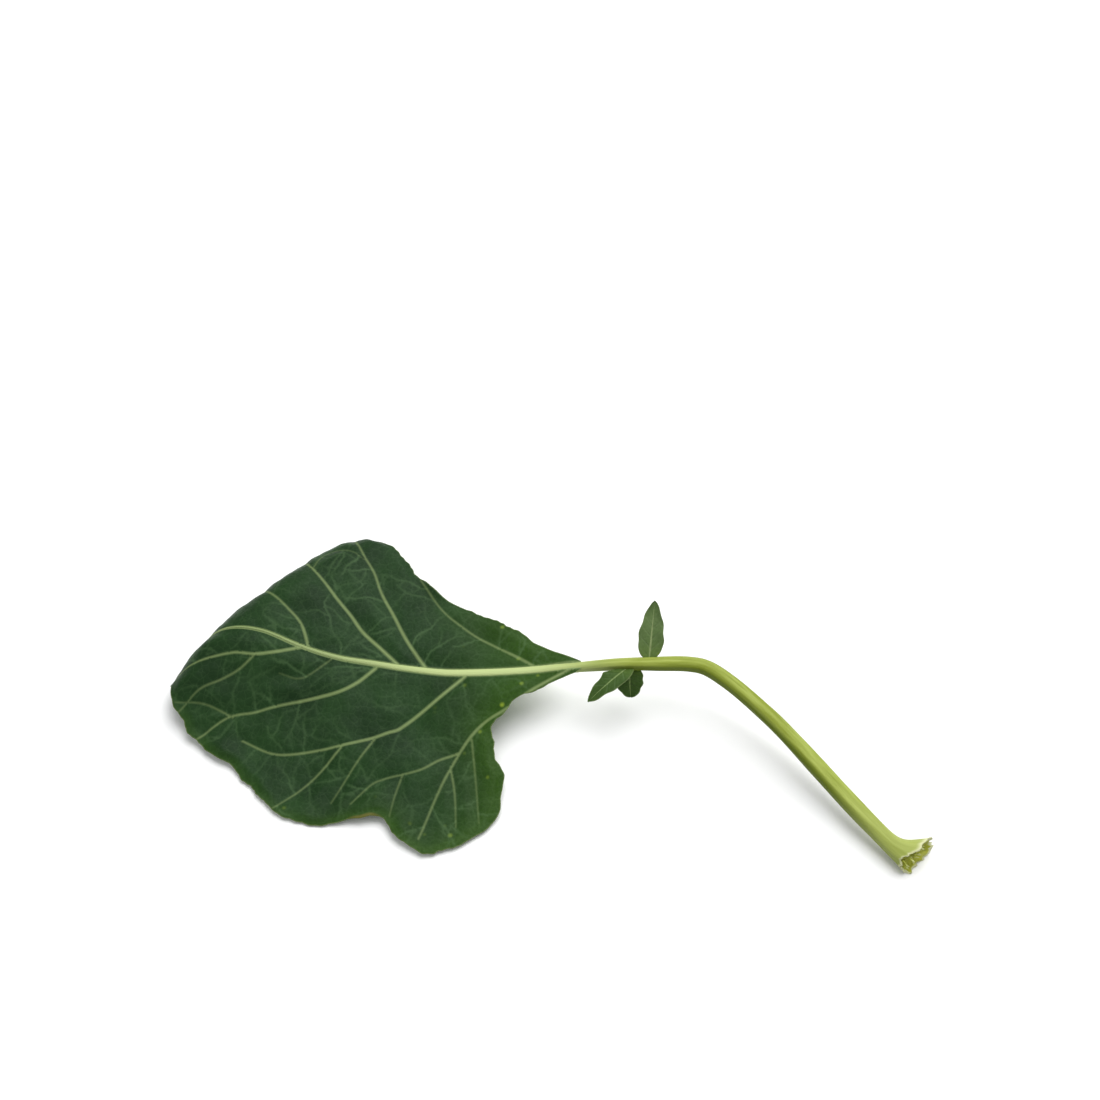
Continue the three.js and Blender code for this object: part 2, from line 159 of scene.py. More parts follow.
FAR_MARGIN = row_curve([
    (0.000, 0.010, 0.045), (0.035, 0.060, 0.105), (0.080, 0.115, 0.205), (0.125, 0.175, 0.305),
    (0.175, 0.235, 0.390), (0.225, 0.290, 0.455), (0.275, 0.335, 0.545), (0.325, 0.378, 0.665),
    (0.375, 0.425, 0.805), (0.430, 0.485, 0.925), (0.490, 0.560, 1.000), (0.550, 0.630, 1.010),
    (0.610, 0.695, 0.975), (0.675, 0.760, 0.885), (0.740, 0.820, 0.770), (0.800, 0.875, 0.650),
    (0.860, 0.925, 0.530), (0.930, 0.970, 0.400), (1.000, 1.000, 0.260),
])
MIDRIB = row_curve([             # how far the midrib bows to the far side, as such shares
    (0, 0), (0.17, 0), (0.28, 0.01), (0.36, 0.035), (0.45, 0.068), (0.53, 0.095), (0.62, 0.15),
    (0.70, 0.22), (0.77, 0.25), (0.85, 0.258), (1, 0.26),
])
RIB_HALF = row_curve([           # the midrib's half width, by share of the blade's length
    (0, 2.35), (0.12, 2.1), (0.25, 1.9), (0.45, 1.35), (0.62, 0.84), (0.72, 0.56), (0.82, 0.4),
    (0.9, 0.28),
])


def midrib(u):
    u = np.atleast_1d(np.asarray(u, float))
    return np.column_stack([u, MIDRIB(u / BLADE_LENGTH)[:, 0] * HALF_WIDTH])


def rib_half(u):
    return RIB_HALF(np.minimum(np.asarray(u, float) / BLADE_LENGTH, 0.9))[:, 0]


# %% [markdown]
# The margin of a brassica leaf is not a clean curve. It swings in shallow scallops, and small
# blunt teeth sit where fine veins reach the edge. Both are pushed out of the plain outline along
# its normal, in an uneven rhythm, because an even one looks stamped out with a cutter.

# %% The toothed outline
OUTLINE_STEP = 0.6
SCALLOP, SCALLOP_STRETCH = 0.7, 2.7      # how far a scallop swings, and how long it is drawn out
TOOTH, TOOTH_SPACING = 0.42, 5.6         # how far a tooth stands out, and how often one comes
TOOTH_RISE, TOOTH_FALL = 0.42, 0.58      # shares of its length on either side of its point
FOOT_CALM = 30.0                         # the margin starts out smooth at the blade's foot
FOOT_TUCK = np.array([(-1.0, 2.0), (-1.0, -2.0)])    # the blade's foot, inside the stalk


def draw_outline():
    shares = np.linspace(0, 1, 500)
    scale = np.array([BLADE_LENGTH, HALF_WIDTH])
    near = NEAR_MARGIN(shares) * scale * (1, -1)
    far = FAR_MARGIN(shares) * scale
    line = evenly(np.vstack([near, far[::-1]]), OUTLINE_STEP)
    run = lengths_along(line)
    along = unit(np.gradient(line, axis=0))
    outwards = np.column_stack([along[:, 1], -along[:, 0]])
    drift = ripple(np.column_stack([run, run * 0]), 31, 3)
    beat = run / TOOTH_SPACING + 1.4 * drift
    tooth = 1 - np.abs((beat % 1) - TOOTH_RISE) / TOOTH_FALL
    swing = SCALLOP * np.sin(run / SCALLOP_STRETCH + 2.2 * drift) * (0.6 + 0.5 * drift)
    strength = 0.5 + 0.5 * ripple(np.column_stack([run, run * 0 + 9]), 17, 5)
    push = swing + TOOTH * (tooth - 0.5) * (0.5 + strength)
    push *= smooth(0, FOOT_CALM, np.minimum(run, run[-1] - run))
    return np.vstack([FOOT_TUCK[1:], line + outwards * push[:, None], FOOT_TUCK[:1]])


OUTLINE = draw_outline()
print("outline of", len(OUTLINE), "points,", round(lengths_along(OUTLINE)[-1]), "mm round")


# %% What is inside an outline, and how far things are from a set of points
def inside(points, polygon):
    """Which points lie inside: a ray from each crosses the sides an odd number of times."""
    hit = np.zeros(len(points), bool)
    x, y = points[:, 0], points[:, 1]
    for (x0, y0), (x1, y1) in zip(polygon, np.roll(polygon, -1, axis=0)):
        if y0 != y1:
            crosses = ((y0 > y) != (y1 > y)) & (x < (x1 - x0) * (y - y0) / (y1 - y0) + x0)
            hit ^= crosses
    return hit


def search_tree(points):
    tree = KDTree(len(points))
    for i, point in enumerate(points):
        tree.insert((*point, 0), i)
    tree.balance()
    return tree


def nearest(points, others):
    """Distance to the nearest of the others, and which one it is."""
    tree = search_tree(others)
    found = [tree.find((*point, 0)) for point in points]
    return np.array([f[2] for f in found]), np.array([f[1] for f in found])


# %% [markdown]
# ## Veins
# The big side veins give this leaf its character: on the near side one runs into the round lobe
# at the foot and one crosses to the far corner, on the far side three climb to the ridge. They
# are given as a few points each. The hundreds of small ones between them are grown: each
# leaves a bigger vein at a slant, wanders, and stops where it meets another or nears the margin,
# which is how the real ones come to join into a net.

# %% The side veins: a width at the root, how pale it is, and points on the flat leaf
SIDE_VEINS = [
    (1.5, 0.90, [(2, -1), (20, -10), (31, -18), (42, -24), (48, -30), (55, -41), (62, -56),
                 (70, -78)]),
    (0.8, 0.60, [(54, -38), (62, -41), (70, -46), (86, -50), (91, -52), (100, -61)]),
    (0.5, 0.40, [(78, -48), (81, -58), (83, -68)]),
    (0.6, 0.50, [(57, -45), (55, -56), (54, -72)]),
    (0.5, 0.40, [(48, -31), (46, -49), (44, -70)]),
    (1.5, 1.00, [(51, -1), (66, -14), (78.5, -24.2), (81.5, -26.3), (85, -27.4), (92, -30),
                 (104, -33), (116, -35), (135, -36), (151, -29)]),
    (0.7, 0.60, [(105, -33), (114, -44), (122, -52), (135, -63)]),
    (0.6, 0.50, [(91, -30), (100, -44), (109, -60)]),
    (1.3, 0.95, [(91, 5), (101, -4), (108, -8), (120, -11), (138, -14), (146, -16), (158, -18),
                 (172, -28)]),
    (0.6, 0.40, [(156, -18), (170, -12), (183, -11)]),
    (0.5, 0.30, [(113, 7), (126, -2), (136, 0)]),
    (1.1, 0.90, [(127, 12), (139, 9), (148, 8), (156, 9), (166, 8), (176, 6), (186, 3),
                 (199, 1)]),
    (0.7, 0.50, [(147, 8), (154, 2), (162, -2), (172, -6), (183, -18)]),
    (1.0, 0.75, [(123, 11), (128, 25), (134, 32), (140, 38), (149, 47), (160, 60)]),
    (1.5, 1.00, [(81, 4), (93, 16), (100, 23), (105, 30), (113, 40), (121, 51), (130, 63),
                 (141, 78)]),
    (1.4, 0.90, [(69, 3), (74, 10), (79, 18), (86, 32), (92, 44), (96, 55), (101, 64),
                 (108, 80)]),
    (1.0, 0.65, [(19, 1), (36, 13), (52, 24), (64, 36), (74, 52)]),
    (0.5, 0.28, [(125, 56), (121, 66), (114, 69), (107, 67), (101, 62)]),
]
VEIN_STEP = 0.9
TAPER, FADE = 0.72, 0.55         # shares of its width and paleness that a vein loses by its end


def draw_side_veins():
    """Each side vein as points, half widths and how pale it is along the way."""
    veins = []
    for root_width, pale, points in SIDE_VEINS:
        line = evenly(spline(points), VEIN_STEP)
        share = np.linspace(0, 1, len(line))
        veins.append((line, root_width / 2 * (1 - TAPER * share**0.8), pale * (1 - FADE * share)))
    return veins


side_veins = draw_side_veins()
side_points = np.vstack([line for line, _, _ in side_veins])
side_half = np.concatenate([half for _, half, _ in side_veins])
side_pale = np.concatenate([pale for _, _, pale in side_veins])
RIB_LINE = evenly(midrib(np.linspace(-1, RIB_END, 300)), VEIN_STEP)
print(len(side_veins), "side veins,", round(len(side_points) * VEIN_STEP), "mm in all")

# %% The small veins
SMALL_STEP = 0.95
GENERATIONS = [                  # room between two in mm, steps they grow, how pale they are
    dict(room=(6.5, 13.0), grow=(14, 44), pale=1.0),
    dict(room=(7.0, 13.0), grow=(7, 22), pale=0.65),
]
SLANT = (42, 72)                 # degrees between a small vein and the one that it leaves
MEETING = 1.1                    # how near two veins come before they join
EDGE_REST = 1.2                  # a vein stops this far from the margin
SHORTEST = 5                     # and is left out if it got no further than this many steps


def draw_small_veins():
    """The small veins as points, half widths and how pale they are."""
    draw = np.random.default_rng(11)
    margin = search_tree(OUTLINE)
    lines = [line for line, _, _ in side_veins] + [RIB_LINE]
    spot = lambda place: tuple(np.floor(place / MEETING).astype(int))
    taken = {spot(place) for line in lines for place in line}
    points, half, pale = [], [], []
    for generation in GENERATIONS:
        buds = []
        for line in lines:
            i = 3
            while i < len(line) - 2:
                buds.append((line[i], line[i + 1] - line[i], draw.choice((-1, 1))))
                i += round(draw.uniform(*generation["room"]) / SMALL_STEP)
        lines = []
        for bud in draw.permutation(len(buds)):
            place, along, hand = buds[bud]
            angle = math.atan2(along[1], along[0]) + hand * math.radians(draw.uniform(*SLANT))
            line, phase = [place], draw.uniform(0, 6)
            for step in range(int(draw.uniform(*generation["grow"]))):
                angle += math.radians(draw.normal(0, 5) + 6 * math.sin(step / 2.4 + phase))
                place = place + SMALL_STEP * np.array([math.cos(angle), math.sin(angle)])
                line.append(place)
                if margin.find((*place, 0))[2] < EDGE_REST or step > 2 and spot(place) in taken:
                    break
            if len(line) > SHORTEST:
                lines.append(np.array(line))
                taken.update(spot(place) for place in line)
                strength = generation["pale"] * draw.uniform(0.55, 1)
                share = np.linspace(0, 1, len(line))
                half.append(0.1 + 0.12 * strength * (1 - share))
                pale.append(strength * (1 - 0.5 * share))
        points += lines
    points, half, pale = np.vstack(points), np.concatenate(half), np.concatenate(pale)
    pale *= 0.4 + 0.6 * smooth(-0.7, 0.7, ripple(points, 27, 19))
    keep = inside(points, OUTLINE)
    return points[keep], half[keep], pale[keep]


small_points, small_half, small_pale = draw_small_veins()
print("small veins:", round(len(small_points) * SMALL_STEP), "mm in all")

# %% [markdown]
# ## Laying the leaf down
# One function bends every flat point into place. Heights of the open blade are felt from a few
# spots round about, and where the blade sags past a line it rolls down and under with a set
# radius. The frame's blade was bent by the same rule, so both shapes share every fold. Points
# that would sink into the surface come to rest on it instead.

# %% How the open blade lies: heights in mm over shares of its length and half width
LIE = np.array([
    (-0.06, 0.00, 23), (0.00, 0.00, 22), (0.09, 0.00, 19), (0.18, 0.00, 16.5), (0.36, 0.03, 14),
    (0.53, 0.09, 16), (0.68, 0.20, 22), (0.80, 0.25, 25), (0.92, 0.27, 26),
    (0.10, -0.15, 17), (0.19, -0.32, 10.5), (0.17, -0.58, 3), (0.21, -0.90, -1),
    (0.32, -0.98, -1.5), (0.32, -0.45, 6.5), (0.42, -0.75, 5.5), (0.46, -0.33, 8.5),
    (0.53, -0.80, -1.5), (0.61, -0.32, 7), (0.64, -0.74, -1.5), (0.72, -0.53, -1),
    (0.75, -0.18, 9.5), (0.80, -0.38, -0.8), (0.88, -0.18, 4), (0.90, 0.02, 11),
    (0.22, 0.36, 17), (0.31, 0.51, 16.5), (0.41, 0.76, 20), (0.39, 0.40, 17.5),
    (0.52, 0.84, 24), (0.54, 0.45, 20.5), (0.64, 0.66, 27), (0.73, 0.44, 27), (0.83, 0.18, 22),
])
LIE_REACH = 17.0                 # how far each height is felt
# The blade rolls down past two lines. Each goes through the first point, a share of the length
# and of the half width, and the second pair says which way the blade rolls.
CURL_LINES = [((0.880, -0.045), (0.70, 0.714)), ((0.52, 0.805), (0.0, 1.0))]
CURL_ONSET = 6.0                 # how softly the roll sets in
CURL_RADIUS, TIGHTEST = 12.0, 0.05
CURL_ANGLE = math.radians(168)   # how far round it goes


# %% Bending flat points into place
def open_height(u, v):
    """The blade's height before it rolls: the felt average of the heights round about."""
    total, weight = np.zeros_like(u), np.zeros_like(u)
    for u_share, v_share, height in LIE:
        away = (u - u_share * BLADE_LENGTH) ** 2 + (v - v_share * HALF_WIDTH) ** 2
        felt = np.exp(-0.5 * away / LIE_REACH**2)
        total += felt * height
        weight += felt
    return total / weight


def lay(u, v):
    """Lays flat points down in space, with the blade's foot over the origin."""
    u, v = np.asarray(u, float), np.asarray(v, float)
    pulls = [np.exp((away[0] * (u - through[0] * BLADE_LENGTH)
                     + away[1] * (v - through[1] * HALF_WIDTH)) / CURL_ONSET)
             for through, away in CURL_LINES]
    total = 1 + sum(pulls)
    away_u, away_v = (sum(line[1][k] * pull for line, pull in zip(CURL_LINES, pulls)) / total
                      for k in (0, 1))
    run = CURL_ONSET * np.log(total)
    leave_u, leave_v = u - away_u * run, v - away_v * run
    height = open_height(leave_u, leave_v)
    radius = np.minimum(CURL_RADIUS, height / 2)
    radius = np.maximum(radius, TIGHTEST)
    turn = np.minimum(run / radius, CURL_ANGLE)
    straight = run - turn * radius
    out = radius * np.sin(turn) + straight * np.cos(turn)
    height = height - radius * (1 - np.cos(turn)) - straight * np.sin(turn)
    above = height - FRAME_SHEET / 2
    rest = (above + np.hypot(above, FRAME_SHEET)) / 2
    return np.column_stack([-(leave_u + away_u * out), leave_v + away_v * out,
                            FRAME_SHEET / 2 + rest])


def upward(u, v, step=0.4):
    """The way the upper side faces at flat points."""
    along = lay(u - step, v) - lay(u + step, v)
    across = lay(u, v + step) - lay(u, v - step)
    return unit(np.cross(along, across))


# %% Where the leaf is in the frame
low, high = (np.array(corner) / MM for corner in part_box("blade"))
laid = lay(OUTLINE[:, 0], OUTLINE[:, 1])
FOOT = (low + high) / 2 - (laid.min(0) + laid.max(0)) / 2
FOOT[2] = low[2] - laid[:, 2].min() + FRAME_SHEET / 2
print("the blade's foot is at", FOOT.round(2), "mm; the laid outline spans",
      (laid.max(0) - laid.min(0)).round(1))


def make_object(name, points, faces, marks):
    """A smooth mesh from points in millimetres, with named numbers on its points."""
    mesh = bpy.data.meshes.new(name)
    mesh.from_pydata(((points + FOOT) * MM).tolist(), [], faces)
    mesh.shade_smooth()
    for label, values in marks.items():
        values = np.asarray(values, np.float32)
        vector = values.ndim == 2
        kind = "FLOAT_VECTOR" if vector else "FLOAT"
        layer = mesh.attributes.new(label, kind, "POINT")
        layer.data.foreach_set("vector" if vector else "value", values.ravel())
    made = bpy.data.objects.new(name, mesh)
    bpy.context.scene.collection.objects.link(made)
    print(f"{name}: {len(mesh.vertices)} points, {len(mesh.polygons)} faces")
    return made


# %% [markdown]
# ## The blade's mesh
# Veins are thin next to the blade, so an even grid would have to be very fine to show them. The
# mesh is fine only where it matters: rows of points follow every vein and the margin, an even
# scatter fills the rest, and a Delaunay triangulation joins them, which Blender offers in its
# mathutils module. Every point then falls on a crest, in a valley or on flat skin, never halfway.

# %% Choosing the points
FILL_STEP, FILL_ROW = 0.98, 0.87         # even triangles: rows lie closer than points in a row
FILL_SCATTER = 0.16
FLANKS = (0.0, 0.65, 1.5)                # rows beside a vein, out from its side
EDGE_ROW = 0.7                           # a row along the margin
VEIN_GAP, SMALL_GAP, FILL_GAP = 0.4, 0.5, 0.6    # how near two points may come


def beside(line, offset):
    """A row of points beside a line; offset may change along it."""
    along = unit(np.gradient(line, axis=0))
    return line + np.column_stack([-along[:, 1], along[:, 0]]) * np.reshape(offset, (-1, 1))


def add_points(kept, extra, gap):
    """Adds the extra points that stay clear of each other and of the ones already kept."""
    _, first = np.unique(np.floor(extra / gap).astype(int), axis=0, return_index=True)
    extra = extra[np.sort(first)]
    away, _ = nearest(extra, kept)
    return np.vstack([kept, extra[away > gap]])


# %% Rows along the veins, then an even scatter
def choose_points():
    """The margin, rows along the veins and an even scatter between them, in that order."""
    rows = [line for line, _, _ in side_veins] + [RIB_LINE]
    kept = add_points(OUTLINE, np.vstack(rows), VEIN_GAP)
    for step_out in FLANKS:
        for hand in (-1, 1):
            rows = [beside(line, hand * (half + step_out)) for line, half, _ in side_veins]
            rows.append(beside(RIB_LINE, hand * (rib_half(RIB_LINE[:, 0]) + step_out)))
            kept = add_points(kept, np.vstack(rows), VEIN_GAP)
    kept = add_points(kept, small_points, SMALL_GAP)
    for hand in (-1, 1):
        kept = add_points(kept, beside(OUTLINE, hand * EDGE_ROW), SMALL_GAP)
    draw = np.random.default_rng(5)
    us = np.arange(OUTLINE[:, 0].min(), OUTLINE[:, 0].max(), FILL_STEP)
    vs = np.arange(OUTLINE[:, 1].min(), OUTLINE[:, 1].max(), FILL_STEP * FILL_ROW)
    grid_v, grid_u = np.meshgrid(vs, us, indexing="ij")
    grid_u = grid_u + (np.arange(len(vs)) % 2)[:, None] * FILL_STEP / 2
    fill = np.column_stack([grid_u.ravel(), grid_v.ravel()])
    fill += draw.uniform(-FILL_SCATTER, FILL_SCATTER, fill.shape)
    kept = add_points(kept, fill, FILL_GAP)
    loose = kept[len(OUTLINE):]
    away, _ = nearest(loose, OUTLINE)
    return np.vstack([OUTLINE, loose[inside(loose, OUTLINE) & (away > VEIN_GAP)]])


flat_points = choose_points()
ring_edges = [(i, (i + 1) % len(OUTLINE)) for i in range(len(OUTLINE))]
joined = delaunay_2d_cdt([Vector(p) for p in flat_points], ring_edges, [], 1, 1e-5)
flat_points = np.array([tuple(p) for p in joined[0]])
flat_faces = np.array(joined[2])
print(len(flat_points), "points and", len(flat_faces), "triangles on the flat leaf")

# %% [markdown]
# Relief and colour both follow the veins, so each point of the mesh looks up the nearest side
# vein, small vein, stretch of midrib and stretch of margin once, and everything after this reads
# those distances. A search tree keeps that quick.

# %% How far each point is from the veins and the margin
u, v = flat_points.T
to_side, side_at = nearest(flat_points, side_points)
side_width, paleness = side_half[side_at], side_pale[side_at]
to_small, small_at = nearest(flat_points, small_points)
small_width, small_paleness = small_half[small_at], small_pale[small_at]
to_rib, rib_at = nearest(flat_points, RIB_LINE)
rib_width = rib_half(RIB_LINE[rib_at, 0])
to_edge, _ = nearest(flat_points, OUTLINE)
outside_vein = np.minimum(np.maximum(to_side - side_width, 0), np.maximum(to_rib - rib_width, 0))
print("furthest from any side vein:", round(outside_vein.max(), 1), "mm")

# %% [markdown]
# ## Relief
# On the upper side the skin swells between the veins like a quilt and the veins sit in its
# seams, each with a faint crest of its own. Underneath the same veins stand out as ribs. All of
# it is real height in the mesh, so it catches the light and shows in the silhouette.

# %% Heights over the laid sheet
QUILT, QUILT_RISE = 1.4, 5.5     # how high the skin swells, and how far from a vein it does
PUCKER, CREST = 0.2, 0.2         # dips along small veins, crests on side veins
WAVE, RIPPLE_HEIGHT = 0.7, 0.16  # broad and fine unevenness
SEAT, SEAT_REACH = 0.45, 0.7     # how far the skin climbs the midrib, and from how near
GROOVE = 0.7                     # and how deep it dips below the midrib's own skin
off_rib = np.maximum(to_rib - rib_width, 0)
side_near = np.exp(-(to_side / np.maximum(side_width, 0.2)) ** 2)
small_near = np.exp(-(to_small / (small_width + 0.25)) ** 2)
quilt = 1 - np.exp(-((outside_vein / QUILT_RISE) ** 1.25))
calm = smooth(0, 5, to_edge)     # the relief dies out towards the margin
height = (QUILT * quilt * calm
          - PUCKER * small_paleness * np.exp(-((to_small / 1.2) ** 1.5)) * calm
          + CREST * side_near * side_width
          + WAVE * ripple(flat_points, 19, 1) * calm * smooth(0, 9, off_rib)
          + RIPPLE_HEIGHT * ripple(flat_points, 5.5, 2) * smooth(0, 2, outside_vein) * calm)
RIB_TOP = row_curve([(0, 2.15), (0.14, 1.15), (0.5, 0.95), (0.75, 0.7), (0.9, 0.45)])
rib_top = RIB_TOP(np.clip(u / BLADE_LENGTH, 0, 0.9))[:, 0]
on_rib = smooth(RIB_END + 2, RIB_END - 8, u)
height += (rib_top - SHEET / 2) * SEAT * np.exp(-off_rib / SEAT_REACH) * on_rib
height -= GROOVE * np.clip(1 - to_rib / rib_width, 0, 1) * on_rib
rib_under = 0.75 * side_width * side_near + 0.5 * small_width * small_near
print("relief from", round(height.min(), 2), "to", round(height.max(), 2), "mm")

# %% [markdown]
# The margin has a life of its own: it lifts here and there, and in the notch between the round
# lobe and the long margin it has dried, curled up and turned brown.

# %% The lifted margin
EDGE_LIFT, EDGE_REACH = 1.5, 5.0
NOTCH = (94.0, -66.0)
NOTCH_LIFT, NOTCH_REACH = 1.7, 9
edge_wave = (np.maximum(0, 0.45 + ripple(flat_points, 21, 7)) * np.exp(-to_edge / EDGE_REACH)
             * EDGE_LIFT)
to_notch = np.hypot(u - NOTCH[0], v - NOTCH[1])
notch_curl = np.exp(-((to_notch / NOTCH_REACH) ** 2)) * smooth(3.6, 0, to_edge)
edge_wave += NOTCH_LIFT * notch_curl
print("the margin lifts by up to", round(edge_wave.max(), 2), "mm")

# %% [markdown]
# Thin as it is, the blade is a closed solid with an upper side, a lower side and a rim. A
# Solidify modifier would give both sides the same shape. Here they differ, since the veins stand
# out below and lie sunk above, so both are made from the same flat points and sewn at the rim.

# %% The two sides and the rim between them
THIN_EDGE = 0.45                 # share of the sheet's thickness that is left at the margin
TOP_REST, UNDER_REST = 0.34, 0.06        # the lowest that either side lies above the surface
RIM_BULGE = 0.1
blade_up = upward(u, v)


def blade_sides():
    middle = lay(u, v)
    middle[:, 2] += edge_wave
    thick = SHEET * (THIN_EDGE + (1 - THIN_EDGE) * smooth(0, 3, to_edge))
    top = middle + blade_up * (height + thick / 2)[:, None]
    under = middle + blade_up * (height - thick / 2 - rib_under)[:, None]
    top[:, 2] = np.maximum(top[:, 2], TOP_REST)
    under[:, 2] = np.maximum(under[:, 2], UNDER_REST)
    return top, under


def blade_border():
    """The edges that only one triangle has."""
    borders = {}
    for a, b, c in flat_faces.tolist():
        for edge in ((a, b), (b, c), (c, a)):
            if borders.pop(edge[::-1], None) is None:
                borders[edge] = True
    return list(borders)


def blade_rim(top, under, rim):
    """One more row of points round the margin, so that it is blunt and not a knife's edge."""
    centre = (top[rim] + under[rim]) / 2
    inwards = lay(*(flat_points[rim] * 0.99 + 0.01 * np.array([100.0, 0.0])).T)
    points = centre + unit(centre - inwards) * RIM_BULGE
    points[:, 2] = centre[:, 2]
    return points


# %% [markdown]
# The finishes need to know where on the leaf they are. Each point therefore carries a few
# numbers: its place on the flat leaf, how much of a vein it is, how far the margin is, how
# yellow the blade is there, how far it turns away from above and which side it is on.

# %% Building the closed blade
def blade_marks():
    vein = smooth(1.0, 0.0, (to_side - side_width * 0.6) / 0.5) * paleness
    ribbed = smooth(1.0, 0.0, (to_rib - rib_width * 0.9) / 0.35) * on_rib
    foot = smooth(78, 12, u) * 0.8
    flank = smooth(18, 0, to_edge) * smooth(60, -20, v) * smooth(150, 60, u) * 0.5
    margin = smooth(6, 0, to_edge) * smooth(0, -25, v) * 0.6
    return {
        "vein": np.maximum(vein, ribbed),
        "small": smooth(1.0, 0.0, (to_small - small_width) / 0.5) * small_paleness,
        "glow": np.clip(foot + flank + margin, 0, 1),
        # how far the blade turns away from above, which places the painted sheen
        "bend": np.clip(1 - blade_up[:, 2], 0, 1),
        "curl": notch_curl,
    }


def build_blade():
    top, under = blade_sides()
    border = blade_border()
    rim = sorted({point for edge in border for point in edge})
    count = len(u)
    rim_at = {point: 2 * count + i for i, point in enumerate(rim)}
    faces = [(a, c, b) for a, b, c in flat_faces.tolist()]
    faces += [(a + count, b + count, c + count) for a, b, c in flat_faces.tolist()]
    for a, b in border:
        faces.append((a, b, rim_at[b], rim_at[a]))
        faces.append((rim_at[a], rim_at[b], b + count, a + count))
    everywhere = np.concatenate([np.arange(count), np.arange(count), rim])
    marks = {label: values[everywhere] for label, values in blade_marks().items()}
    marks["flat"] = np.column_stack([u, v, np.zeros(count)])[everywhere]
    marks["edge"] = np.concatenate([to_edge, to_edge, np.zeros(len(rim))])
    marks["under"] = np.repeat([0.0, 1.0, 0.5], [count, count, len(rim)])
    points = np.vstack([top, under, blade_rim(top, under, rim)])
    return make_object("blade_skin", points, faces, marks)


blade = build_blade()

# %% [markdown]
# ## The stalk and midrib
# The midrib and the stalk are one crisp strand, so they are one lofted skin: rings of points
# follow the blade's own fold as far as its foot and the stalk's curve from there on. The stalk is
# ribbed lengthwise, faintly hollowed along its top, and kinks where it leaves the blade. A
# plain bevelled curve could not change its section along the way, and a loft can.

# %% The stalk's path and sections
STALK_REACH = np.array([142.0, 90.0, 1.0])
FLARE_WIDTH, FLARE_HEIGHT, FLARE_LENGTH = 18.5, 10.5, 17.0
FLARE_BEND = 2.7                 # how late the flare opens
MOUTH_ROLL = math.radians(11)    # the mouth's far side stands up off the surface
MOUTH_SHIFT = 1.6                # and reaches further out than its near side
LOWEST = 0.05                    # nothing of the stalk lies nearer the surface
ROLL_LENGTH = 26                 # the stalk twists by that roll over this last stretch
MOUTH_START = 8.0                # how far before the stalk's end the mouth's rings begin
RIB_TUCK = 0.08 * BLADE_LENGTH   # the path is led in along the midrib from here
SPAN_POINTS = 90
STALK_PATH = np.array([          # shares of the reach along and across, and heights in mm
    (0.127, -0.012, 24.5), (0.243, -0.022, 26.0), (0.345, -0.024, 26.0), (0.400, -0.036, 24.9),
    (0.473, -0.110, 22.9), (0.594, -0.278, 17.8), (0.668, -0.405, 14.6), (0.740, -0.541, 11.7),
    (0.809, -0.679, 9.4), (0.890, -0.838, 7.3), (0.950, -0.945, 6.0), (1, -1, 5.05),
])
STALK_HALF = row_curve([         # its half width, by share of its length
    (0, 2.35), (0.08, 2.75), (0.2, 3.3), (0.3, 3.55), (0.5, 3.75), (0.75, 4.05), (1, 4.1),
])
RIB_DEPTH = row_curve([(0, 2.5), (0.12, 3.3), (0.45, 2.4), (0.75, 1.4), (0.9, 0.65)])

stalk_line = spline(np.vstack([lay([RIB_TUCK, 0], [0, 0]), STALK_PATH * STALK_REACH]),
                    SPAN_POINTS)
stalk_run = lengths_along(stalk_line)
stalk_start = stalk_run[SPAN_POINTS]
STALK_LENGTH = stalk_run[-1] - stalk_start
stalk_heading = unit(np.gradient(stalk_line, axis=0))
print("the stalk is", round(STALK_LENGTH, 1), "mm long")


def stalk_frame(distance):
    """Middle, heading, side and up of the stalk at distances from the blade's foot."""
    distance = np.atleast_1d(distance)
    at = stalk_start + distance
    middle, heading = (np.column_stack([np.interp(at, stalk_run, line[:, k]) for k in range(3)])
                       for line in (stalk_line, stalk_heading))
    heading = unit(heading)
    middle += heading * np.maximum(distance - STALK_LENGTH, 0)[:, None]
    side = unit(np.cross([0, 0, 1], heading))
    up = unit(np.cross(heading, side))
    roll = (MOUTH_ROLL * smooth(STALK_LENGTH - ROLL_LENGTH, STALK_LENGTH, distance))[:, None]
    return (middle, heading, side * np.cos(roll) + up * np.sin(roll),
            up * np.cos(roll) - side * np.sin(roll))


# %% One ring, and the flutes along it
SIDES = 56
RIB_STEP, STALK_STEP = 1.3, 1.15         # between two rings
AROUND = np.arange(SIDES) / SIDES * 2 * np.pi


def section(middle, side, up, half, rise, depth, fluting):
    """One ring: an oval, flatter above than below, with shallow lengthwise flutes."""
    across = (np.cos(AROUND) * half * (1 + fluting))[:, None]
    lift = (np.sin(AROUND) * np.where(np.sin(AROUND) > 0, rise, depth) * (1 + fluting))[:, None]
    return middle + across * side + lift * up


def flutes(distance, strength):
    """Lengthwise ribs that wander a little, and a shallow hollow along the top."""
    wander = 0.25 * np.sin(distance / 23) + 0.12 * np.sin(distance / 9.1)
    ribs = (0.020 * np.cos(9 * (AROUND + wander)) + 0.013 * np.cos(5 * (AROUND - wander) + 1.3)
            + 0.010 * np.cos(17 * AROUND + 2 * wander))
    hollow = -0.05 * np.exp(-((AROUND - np.pi / 2) / 0.34) ** 2)
    uneven = 0.022 * np.sin(distance / 6.3 + 1) * np.sin(distance / 14.7)
    return strength * (ribs + hollow + uneven)


